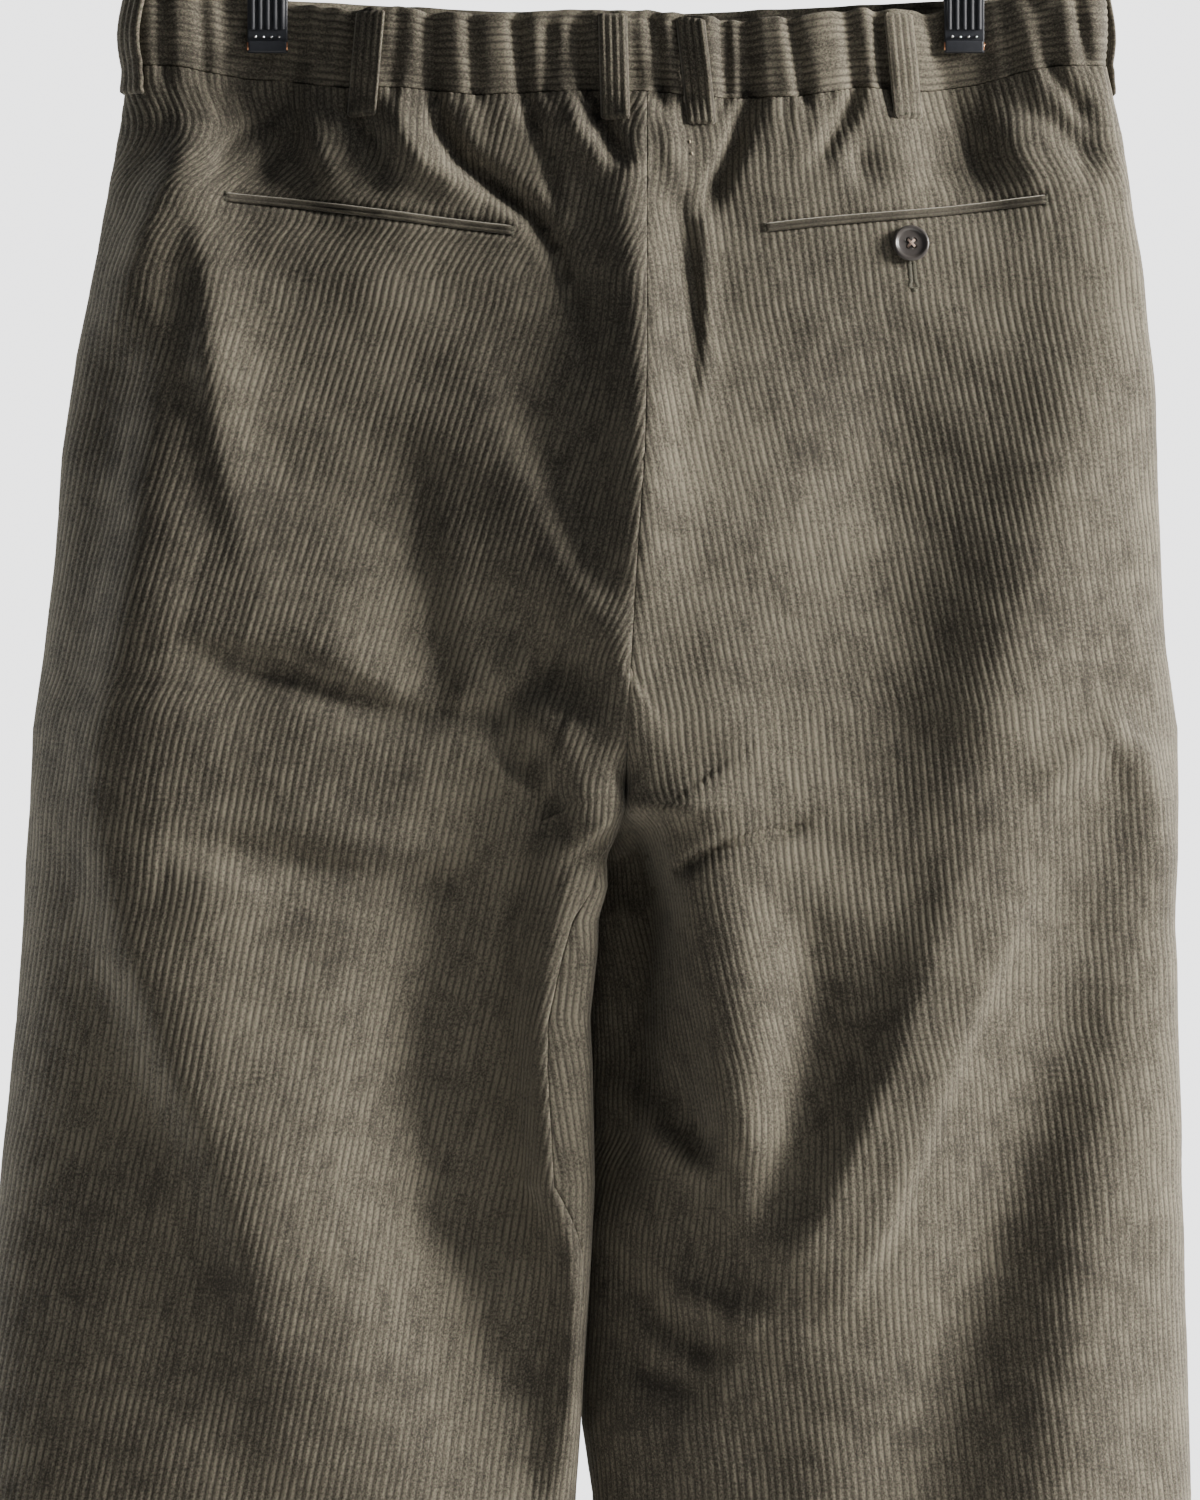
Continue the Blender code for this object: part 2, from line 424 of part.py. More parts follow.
def gather_shares(side, face):
    """Columns of a panel: one on each gather's valley, one on the crest between two."""
    folds = BACK_FOLDS if face == "back" else FRONT_FOLDS
    sign = SIDES[side]
    centre, rim = 13.0, column(OUTLINE[side], 0, 1, SEAM_DROP)
    valleys = []
    for _, _, path in folds:
        if path[0][1] < 20:
            at_seam = column(path, 1, 0, SEAM_DROP)
            if sign * (at_seam - centre) > 6 and abs(rim - at_seam) > 6:
                valleys.append(float(at_seam))
    marks = sorted(valleys + [centre, rim], key=lambda x: -sign * x)
    between = [(a + b) / 2 for a, b in zip(marks, marks[1:])]
    shares = list(share_at(side, face, SEAM_DROP, sorted(marks + between)))
    closest, widest = COLUMN_SPAN[face]
    filled = [0.0]
    for share in [float(s) for s in shares if closest < s < 1 - closest] + [1.0]:
        if share - filled[-1] < closest and share < 1:
            continue
        parts = max(1, math.ceil((share - filled[-1]) / widest))
        start = filled[-1]
        filled += [start + (share - start) * (i + 1) / parts for i in range(parts)]
    return filled


def panel_grid(side, face):
    sign = SIDES[side]
    shares = gather_shares(side, face)
    rows = []
    for drop in ROWS:
        row = cloth_row(side, face, drop, shares)
        if drop == SEAM_DROP:
            row[:, 2] -= WAIST_GAP / 2
        row[0, 1] += FACES[face] * SEAM_GAP / 2
        if drop <= CROTCH_DROP:
            row[-1, 0] += sign * SEAM_GAP / 2
        if drop >= CROTCH_DROP:
            back_along = row[-2, :2] - row[-1, :2]
            row[-1, :2] += back_along / np.linalg.norm(back_along) * SEAM_GAP / 2
        rows.append(row)
    return np.array(rows)


def seam_normals(side, face):
    """Which way a panel's last column faces: with the other leg's at the centre, with its own
    leg's other panel at the inner leg, and free where the seam turns in."""
    normals = []
    for drop in ROWS:
        if drop <= TURN_DROP:
            normals.append((0, FACES[face], 0))
        elif drop >= CROTCH_DROP:
            normals.append((*ring(side, face, drop, [1.0])[1][0], 0))
        else:
            normals.append((np.nan, np.nan, np.nan))
    return np.array(normals)


def make_panels():
    grids = {}
    for face in FACES:
        for side in SIDES:
            grid = panel_grid(side, face)
            like = np.array([0.0, FACES[face], 0.0])
            seam = seam_normals(side, face)
            mesh = loft(f"{face}_{side}", grid, WALL, like, flat_ends=(1, None), last_normals=seam)
            place(f"{face}_{side}", mesh, CORDUROY)
            grids[face, side] = grid
    return grids


# ---- the waistband: one gathered back, and two fronts that lap and button ----


def band_grid(face, sides_shares, lift=None):
    """Rows of the band from its top edge to the seam; each side gives its shares in order."""
    rows = []
    for part_down in np.linspace(0, 1, BAND_ROWS):
        pieces = []
        for side, shares in sides_shares:
            order = np.argsort(shares)
            row = cloth_row(side, face, SEAM_DROP, np.asarray(shares)[order], BAND_HEIGHT * (part_down - 1))
            pieces.append(row[np.argsort(order)])
        row = np.concatenate(pieces)
        if part_down == 1:
            row[:, 2] += WAIST_GAP / 2
        if lift is not None:
            row[:, 1] += FACES[face] * lift(row[:, 0])
        rows.append(row)
    return np.array(rows)


def make_waistband():
    count = BAND_COLUMNS
    down, up = np.linspace(0, 1, count), np.linspace(1, 0, count)[1:]
    back = band_grid("back", [("left", down), ("right", up)])
    back[:, (0, -1), 1] -= SEAM_GAP / 2
    place("waistband_back", loft("waistband_back", back, WALL, np.array([0.0, -1, 0]), (1, 1)), CORDUROY)
    coarse = np.linspace(0, 1, FRONT_BAND_COLUMNS)
    right = band_grid("front", [("right", coarse)])
    right[:, 0, 1] += SEAM_GAP / 2
    right_mesh = loft("waistband_front_right", right, WALL, np.array([0.0, 1, 0]), (1, None))
    place("waistband_front_right", right_mesh, CORDUROY)
    tab_end = float(share_at("right", "front", SEAM_DROP, FLY_X + TAB_LAP))
    tab = np.linspace(1, tab_end, 6)[1:]
    left = band_grid("front", [("left", coarse), ("right", tab)], lambda x: TAB_LIFT * ease((x - FLY_X + 14) / 10))
    left[:, 0, 1] += SEAM_GAP / 2
    left_mesh = loft("waistband_front_left", left, WALL, np.array([0.0, 1, 0]), (1, None))
    place("waistband_front_left", left_mesh, CORDUROY)
    return back


# ---- what is sewn on top: strips laid over the finished cloth ----


def surface_of(*names):
    trees = []
    for name in names:
        mesh = bpy.data.objects[name].data
        trees.append(BVHTree.FromPolygons([v.co / MM for v in mesh.vertices], [p.vertices for p in mesh.polygons]))
    return trees


def height_over(trees, point, aim):
    """How far out along aim the cloth's outermost face lies, at a point of the plane through 0."""
    start = Vector(point) + Vector(aim) * 300
    found = [tree.ray_cast(start, -Vector(aim)) for tree in trees]
    heights = [hit.dot(Vector(aim)) - Vector(point).dot(Vector(aim)) for hit, _, _, _ in found if hit]
    return max(heights) if heights else None


def laid_strip(name, trees, centres, across, aim, width, thick, lifts, look, columns=2):
    """A strip along centres, clear of the cloth by LAY_GAP and its own lift at each of them."""
    across, aim = np.array(across, float), np.array(aim, float)
    rows = []
    for centre, lift in zip(centres, lifts):
        reach = np.linspace(-0.5, 0.5, 7)
        seen = [(t, height_over(trees, centre + across * width * t, aim)) for t in reach]
        seen = [(t, h) for t, h in seen if h is not None]
        slope, level = np.polyfit([t for t, _ in seen], [h for _, h in seen], 1)
        level += max(h - slope * t - level for t, h in seen)
        row = []
        for t in np.linspace(-0.5, 0.5, columns):
            row.append(centre + across * width * t + aim * (slope * t + level + LAY_GAP + lift + thick))
        rows.append(row)
    grid = np.array(rows)
    return place(name, loft(name, grid, thick, aim, steady=aim), look)


def make_loops():
    """Two bars hold each loop: at the band's top edge and just under the waist seam."""
    back = surface_of("waistband_back", "back_left", "back_right")
    front = surface_of("waistband_front_left", "waistband_front_right", "front_left", "front_right")
    sides = back + front
    steps = [0, 0.05, 0.14, 0.32, 0.5, 0.68, 0.84, 0.94, 1]
    number = 0
    places = [(x, lean, (0, -1, 0), back, "back") for x, lean in BACK_LOOPS]
    places += [(x, lean, (0, 1, 0), front, "front") for x, lean in FRONT_LOOPS]
    places += [(-199.5, 0.0, (-0.8, -0.6, 0), sides, "back"), (201.5, 0.0, (0.8, 0.6, 0), sides, "front")]
    for x, lean, aim, trees, face in places:
        number += 1
        seam = SEAM_DROP + float(seam_shift(np.array([float(x)]), SEAM_DROP, face)[0])
        centres, lifts = [], []
        for step in steps:
            drop = seam - BAND_HEIGHT + 1.2 + step * (BAND_HEIGHT + LOOP_FOOT - 1.2)
            centres.append(np.array([x + lean * (step - 0.5), 0.0, BAND_TOP_Z - drop]))
            lifts.append(LOOP_SLACK * math.sin(math.pi * step) ** LOOP_ROUND)
        if abs(aim[0]) > 0.5:
            centres = [c + np.array([0, 3.0 * FACES[face], 0]) for c in centres]
        across = (-aim[1], aim[0], 0)
        laid_strip(f"belt_loop_{number}", trees, centres, across, aim, LOOP_WIDTH, LOOP_THICK, lifts, CORDUROY, 3)


def make_pocket_jets():
    for side, mouth in POCKET_MOUTHS.items():
        trees = surface_of(f"back_{side}")
        ends = np.array(mouth, float)
        count = int(abs(ends[-1, 0] - ends[0, 0]) / JET_STEP)
        xs = np.linspace(ends[0, 0], ends[-1, 0], count)
        drops = np.interp(xs, ends[:, 0], ends[:, 1]) + JET_HEIGHT / 2
        centres = [np.array([x, 0.0, BAND_TOP_Z - drop]) for x, drop in zip(xs, drops)]
        lifts = [0.4] * count
        laid_strip(
            f"pocket_jet_{side}", trees, centres, (0, 0, -1), (0, -1, 0), JET_HEIGHT, JET_THICK, lifts, CORDUROY
        )


def make_fly_lap():
    trees = surface_of("front_left", "front_right")
    drops = np.linspace(SEAM_DROP + 2.5, SEAM_DROP + FLY_LENGTH, FLY_ROWS)
    centres = [np.array([FLY_X + FLY_OVER - FLY_WIDTH / 2, 0.0, BAND_TOP_Z - drop]) for drop in drops]
    laid_strip(
        "fly_lap", trees, centres, (-1, 0, 0), (0, 1, 0), FLY_WIDTH, FLY_THICK, [FLY_LIFT] * FLY_ROWS, CORDUROY, 5
    )


# ---- buttons ----


def button_mesh(name):
    """A turned dish with a raised rim, four holes through its middle; its axis is Z, its face up."""
    profile = [
        (0, 0), (5.2, 0), (7.0, 0.7), (BUTTON_DIAMETER / 2, 1.7), (7.4, 2.6), (6.7, 2.7), (5.9, 2.1),
        (4.2, 1.7), (0, 1.7),
    ]
    mesh = bpy.data.meshes.new(name)
    work = bmesh.new()
    points = [work.verts.new((radius * MM, 0, height * MM)) for radius, height in profile]
    for a, b in zip(points, points[1:]):
        work.edges.new((a, b))
    work.to_mesh(mesh)
    work.free()
    turned = bpy.data.objects.new(name, mesh)
    TROUSERS.objects.link(turned)
    screw = turned.modifiers.new("turn", "SCREW")
    screw.steps = screw.render_steps = 32
    screw.use_merge_vertices = True
    screw.merge_threshold = 0.00001
    for hole in range(4):
        angle = math.pi / 4 + hole * math.pi / 2
        bpy.ops.mesh.primitive_cylinder_add(vertices=12, radius=0.85 * MM, depth=12 * MM)
        cutter = bpy.context.object
        cutter.name = f"{name}_hole_{hole}"
        cutter.location = (1.75 * MM * math.cos(angle), 1.75 * MM * math.sin(angle), 0)
        cutter.hide_render = True
        cutter.display_type = "WIRE"
        cut = turned.modifiers.new("hole", "BOOLEAN")
        cut.object = cutter
        cut.operation = "DIFFERENCE"
    made = baked(turned)
    for hole in range(4):
        bpy.data.objects.remove(bpy.data.objects[f"{name}_hole_{hole}"], do_unlink=True)
    return made


def make_buttons():
    """One on the right back pocket, one on the front band's tab."""
    pocket = surface_of("back_right")
    x, drop = POCKET_BUTTON
    seat_button("button_pocket", pocket, x, BAND_TOP_Z - drop, -1)
    tab = surface_of("waistband_front_left")
    middle = BAND_TOP_Z - SEAM_DROP + BAND_HEIGHT / 2
    seat_button("button_waist", tab, FLY_X + TAB_LAP - 14, middle, 1)


def seat_button(name, trees, x, z, way):
    aim = (0, way, 0)
    radius = BUTTON_DIAMETER / 2 - 1
    spots = [(0, 0)] + [(radius * math.cos(a), radius * math.sin(a)) for a in np.linspace(0, 2 * math.pi, 13)]
    heights = [(dx, dz, height_over(trees, (x + dx, 0, z + dz), aim)) for dx, dz in spots]
    heights = [row for row in heights if row[2] is not None]
    base = np.array([[dx, dz, 1] for dx, dz, _ in heights])
    lean, _, _, _ = np.linalg.lstsq(base, np.array([h for _, _, h in heights]), rcond=None)
    rise = max(h - base[i] @ lean for i, (_, _, h) in enumerate(heights))
    out = Vector((-lean[0], way, -lean[1])).normalized()
    mesh = button_mesh(name)
    mesh.transform(out.to_track_quat("Z", "Y").to_matrix().to_4x4())
    centre = Vector((x, way * (lean[2] + rise + LAY_GAP + 0.25), z))
    mesh.transform(Matrix.Translation(centre * MM))
    place(name, mesh, HORN)


# ---- the hanger: hook, bar and two ribbed clips ----


def tube(name, points, radius, look, sides=2):
    curve = bpy.data.curves.new(name, "CURVE")
    curve.dimensions = "3D"
    curve.bevel_depth = radius * MM
    curve.bevel_resolution = sides
    curve.use_fill_caps = True
    spline = curve.splines.new("POLY")
    spline.points.add(len(points) - 1)
    for target, point in zip(spline.points, points):
        target.co = (*(Vector(point) * MM), 1)
    made = bpy.data.objects.new(name, curve)
    TROUSERS.objects.link(made)
    return place(name, baked(made), look)


def hook_path():
    """From the tip, over the top and back under the hook's middle, to the foot in the boss."""
    middle = HOOK_RADIUS + HOOK_WIRE / 2
    arc = [math.radians(a) for a in range(205, -46, -10)]
    path = [(middle * math.cos(a), 0, -HOOK_RADIUS + middle * math.sin(a)) for a in arc]
    start, foot = Vector(path[-1]), Vector((0, 0, HOOK_FOOT_Z + 22))
    pull = Vector((-math.sin(math.radians(45)), 0, -math.cos(math.radians(45)))) * 13
    for step in np.linspace(0, 1, 9)[1:]:
        a, b = start + pull, foot + Vector((0, 0, 12))
        point = start * (1 - step) ** 3 + a * 3 * step * (1 - step) ** 2 + b * 3 * step**2 * (1 - step)
        path.append(tuple(point + foot * step**3))
    path.append((0, 0, HOOK_FOOT_Z))
    return path


def box(name, low, high):
    bpy.ops.mesh.primitive_cube_add(size=1)
    made = bpy.context.object
    made.name = name
    made.scale = [(b - a) * MM for a, b in zip(low, high)]
    made.location = [(a + b) / 2 * MM for a, b in zip(low, high)]
    bpy.ops.object.transform_apply(location=False, rotation=False, scale=True)
    return made


def cut(target, cutters):
    for cutter in cutters:
        cutter.hide_render = True
        cutter.display_type = "WIRE"
        step = target.modifiers.new("cut", "BOOLEAN")
        step.object = cutter
        step.operation = "DIFFERENCE"
    mesh = baked(target)
    for cutter in cutters:
        bpy.data.objects.remove(cutter, do_unlink=True)
    return mesh


def rod(name, radius, length, centre, axis="X", vertices=24):
    turn = {"X": (0, math.pi / 2, 0), "Z": (0, 0, 0)}[axis]
    bpy.ops.mesh.primitive_cylinder_add(
        vertices=vertices, radius=radius * MM, depth=length * MM, location=Vector(centre) * MM, rotation=turn
    )
    made = bpy.context.object
    made.name = name
    bpy.ops.object.transform_apply(location=False, rotation=True, scale=False)
    return made


def make_clip(side, sign, band):
    """A block on the bar, and under it two jaws that press the band's back and front together."""
    x = sign * CLIP_X
    reach = (x - CLIP_WIDTH / 2, x + CLIP_WIDTH / 2)
    under = np.abs(band[:, :, 0] - x) < CLIP_WIDTH / 2 + 5
    face_of = {"back": min(band[:, :, 1][under]) - 0.4, "front": None}
    front = bpy.data.objects[f"waistband_front_{side}"].data.vertices
    held = [v.co.y / MM for v in front if abs(v.co.x / MM - x) < CLIP_WIDTH / 2 + 8]
    face_of["front"] = max(held) + 0.4
    for face, inside in face_of.items():
        way = FACES[face]
        low_y, high_y = sorted((inside, inside + way * JAW_THICK))
        jaw = box(f"clip_{side}_{face}_jaw", (reach[0], low_y, JAW_FOOT_Z), (reach[1], high_y, JAW_TOP_Z))
        grooves = []
        for rib in range(JAW_RIBS):
            centre = reach[0] + (rib + 0.5) * CLIP_WIDTH / JAW_RIBS
            outer_y = inside + way * JAW_THICK
            grooves.append(
                box(
                    f"groove_{rib}",
                    (centre - 0.7, outer_y - 0.8, JAW_FOOT_Z + 4.5),
                    (centre + 0.7, outer_y + 0.8, JAW_TOP_Z - 6),
                )
            )
        place(f"clip_{side}_{face}_jaw", cut(jaw, grooves), CLIP_BLACK)
    low = (reach[0] + 0.5, face_of["back"] - JAW_THICK, JAW_TOP_Z + SEAM_GAP)
    high = (reach[1] - 0.5, face_of["front"] + JAW_THICK, BAR_Z + BLOCK_RISE)
    block = box(f"clip_{side}_block", low, high)
    hole = rod("block_hole", BAR_RADIUS + SEAM_GAP, CLIP_WIDTH * 2, (x, 0, BAR_Z))
    place(f"clip_{side}_block", cut(block, [hole]), CLIP_BLACK)


def make_hanger(band):
    tube("hanger_hook", hook_path(), HOOK_WIRE / 2, STEEL)
    bar = rod("hanger_bar", BAR_RADIUS, 2 * BAR_HALF, (0, 0, BAR_Z))
    place("hanger_bar", baked(bar), STEEL)
    boss = rod("hanger_boss", BOSS_RADIUS, BOSS_HEIGHT, (0, 0, BAR_Z + 3), "Z")
    through = rod("boss_bar_hole", BAR_RADIUS + 0.3, 60, (0, 0, BAR_Z))
    socket = rod("boss_socket", HOOK_WIRE / 2 + 0.3, 30, (0, 0, HOOK_FOOT_Z + 15 - 0.4), "Z")
    place("hanger_boss", cut(boss, [through, socket]), CLIP_BLACK)
    for side, sign in SIDES.items():
        make_clip(side, sign, band)


for leftover in list(bpy.data.objects):
    bpy.data.objects.remove(leftover, do_unlink=True)
TROUSERS = bpy.data.collections.new("corduroy_trousers")
bpy.context.scene.collection.children.link(TROUSERS)
CORDUROY = material("olive corduroy", (0.085, 0.076, 0.058), 0.9)
HORN = material("grey-brown button", (0.16, 0.14, 0.13), 0.35)
STEEL = material("steel wire", (0.6, 0.6, 0.6), 0.3, 1.0)
CLIP_BLACK = material("black clip plastic", (0.02, 0.02, 0.022), 0.45)

make_panels()
BAND = make_waistband()
make_loops()
make_pocket_jets()
make_fly_lap()
make_buttons()
make_hanger(BAND)
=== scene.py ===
import bpy
import bmesh
import math
import numpy as np
from mathutils import Matrix, Vector
from mathutils.bvhtree import BVHTree


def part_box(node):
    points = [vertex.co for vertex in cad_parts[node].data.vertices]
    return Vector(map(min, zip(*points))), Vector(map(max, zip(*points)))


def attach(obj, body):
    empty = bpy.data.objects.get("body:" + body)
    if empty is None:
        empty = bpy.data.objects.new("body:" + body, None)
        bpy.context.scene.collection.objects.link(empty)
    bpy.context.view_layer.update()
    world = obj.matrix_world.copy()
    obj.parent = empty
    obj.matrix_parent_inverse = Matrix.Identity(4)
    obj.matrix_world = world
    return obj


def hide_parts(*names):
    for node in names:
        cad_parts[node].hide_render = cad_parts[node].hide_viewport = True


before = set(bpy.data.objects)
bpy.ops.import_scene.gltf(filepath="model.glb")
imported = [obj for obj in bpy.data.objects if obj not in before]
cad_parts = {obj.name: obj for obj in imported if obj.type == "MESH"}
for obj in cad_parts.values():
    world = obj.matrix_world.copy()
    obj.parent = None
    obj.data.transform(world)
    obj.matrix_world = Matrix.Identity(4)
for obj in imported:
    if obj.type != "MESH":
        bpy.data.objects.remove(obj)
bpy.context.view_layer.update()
MM = 0.001

# ======================================================================================
# Four panels of corduroy, two backs and two fronts, sewn at the sides, the centre and the
# inner legs. They hang by the band, so each leg is a flattened tube that the clips pinch at
# the top. The wales follow the leg, so they run off into the centre seam as a herringbone.
# ======================================================================================
# Sizes are in millimetres, and a drop is measured down from BAND_TOP_Z.
SIDE_RISE = 6.5  # the band's ends at the side seams stand this far above BAND_TOP_Z
BAND_TOP_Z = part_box("waistband_back")[1].z / MM - SIDE_RISE
BAND_HEIGHT = 34.0
TOTAL_LENGTH = 1000.0
CLIP_X = sum(corner.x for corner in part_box("clip_right_back_jaw")) / 2 / MM
SEAM_DROP = 38.0  # the waist seam
SEAT_DROP = 190.0  # from here to the crotch a leg grows out of the torso
TURN_DROP = 306.0  # from here to the crotch the inner part of a ring rounds in
CROTCH_DROP = 341.0
RING_STEPS = 480
TURN_POWER = 3.0  # the more, the sooner it rounds in
TURN_EASE = 1.5  # over 1 lets that start slowly
INNER_BEND = 6.0  # the more, the closer to the inner edge a ring leans towards that edge's y
SQUARENESS = 0.8  # under 1 flattens the back and front of a ring
PINCH = 0.86  # share of the depth that the clips take away
PINCH_REACH = 30.0
PINCH_START = 36.0  # below this drop the cloth opens again,
PINCH_FADE = 74.0  # over this length
PRESSED = 0.85  # share of the folds that the clips press out
SIDE_STILL = 0.07  # share of a ring, from the side seam, over which the folds rise
INNER_STILL = 0.055  # and the same from the inner edge, below the crotch
SIDES = {"left": -1, "right": 1}
FACES = {"back": -1, "front": 1}

# drop, outer edge x, inner edge x, inner edge y, turn of the inner leg seam to the back in
# degrees, squareness of the back's and of the front's half towards the other leg
OUTER, INNER, INNER_Y, SEAM_TURN, BACK_SQUARE, FRONT_SQUARE = range(1, 7)
OUTLINE = {
    "left": [
        (0, -203, 13, 0, 0, 0.8, 0.8), (38, -207, 13, 0, 0, 0.8, 0.8), (65, -211, 13, 0, 0, 0.8, 0.8),
        (107, -219.5, 13, 0, 0, 0.8, 0.8), (149, -228.5, 13, 0, 0, 0.8, 0.8),
        (191, -234.8, 12, 0, 0, 0.8, 0.8), (233, -237.5, 9, 0, 0, 0.8, 0.8),
        (275, -242.3, 6.5, 0, 0, 0.6, 0.6), (308, -247, 4.8, 0, 0, 0.13, 0.4),
        (341, -248.2, 4, 0, 0, 0.12, 0.4), (350, -249, 1.5, -5, 2, 0.13, 0.43),
        (362, -250, -4, -8, 10, 0.14, 0.48), (375, -250.5, -3.6, -8, 18, 0.15, 0.54),
        (388, -251, -7.4, -8, 24, 0.15, 0.6), (402, -252, -7.8, -8, 28, 0.16, 0.65),
        (430, -254, -11, -8, 31, 0.18, 0.7), (450, -256, -10, -8, 32, 0.2, 0.7),
        (500, -261, -9, -8, 30, 0.26, 0.7), (530, -264.5, -10.5, -13, 12, 0.38, 0.7),
        (570, -268.5, -13, -12, 7, 0.42, 0.7), (603, -272, -15, -11, 3, 0.45, 0.7),
        (632, -275.5, -17, -10, 0, 0.5, 0.7), (800, -281, -23, -8, 0, 0.65, 0.75),
        (1000, -273, -32, 0, 0, 0.8, 0.8),
    ],
    "right": [
        (0, 199, 13, 0, 0, 0.8, 0.8), (38, 208, 13, 0, 0, 0.8, 0.8), (65, 214.5, 13, 0, 0, 0.8, 0.8),
        (107, 219.7, 13, 0, 0, 0.8, 0.8), (149, 224.6, 13, 0, 0, 0.8, 0.8),
        (191, 228.6, 12, 0, 0, 0.8, 0.8), (233, 230.2, 9, 0, 0, 0.8, 0.8), (275, 233, 6.5, 0, 0, 0.6, 0.6),
        (308, 238, 4.8, 0, 0, 0.13, 0.4), (341, 238.2, 4, 0, 0, 0.12, 0.4),
        (350, 238, 0.6, 12, 0, 0.34, 0.45), (364, 237.5, -6, 27, 0, 0.44, 0.54),
        (392, 236.6, -12, 33, 0, 0.5, 0.68), (440, 238, -15, 32, 0, 0.56, 0.8),
        (500, 239.5, -14, 27, 0, 0.6, 0.87), (530, 240.5, -14.5, 24, 0, 0.65, 0.9),
        (570, 242, -15, 18, 0, 0.7, 0.9), (603, 243, -14.5, 12, 0, 0.7, 0.9),
        (632, 243.8, -10, 9, 0, 0.7, 0.85), (700, 244, -6, 7, 0, 0.7, 0.8), (800, 244, 0, 5, 0, 0.7, 0.8),
        (1000, 241, 10, 0, 0, 0.8, 0.8),
    ],
}

# drop, depth of the back from the side seam's plane, depth of the front
BACK_DEPTH, FRONT_DEPTH = 1, 2
DEPTH = [
    (0, 24, 22), (38, 25, 22), (90, 34, 28), (150, 42, 34), (230, 50, 38), (314, 53, 41), (341, 53, 42),
    (450, 49, 42), (700, 46, 42), (1000, 46, 43),
]

# x, drop of the back waist seam below BAND_TOP_Z: the elastic sags between the clips
WAIST_SEAM = [
    (-207, 27), (-196, 28), (-175, 32.5), (-145, 33.5), (-114, 37.5), (-91, 37.5), (-58, 41),
    (-20, 39), (14, 39.5), (48, 42.5), (77, 41.5), (102, 37.5), (132, 38.5), (161, 34.3),
    (186, 29.7), (208, 27),
]

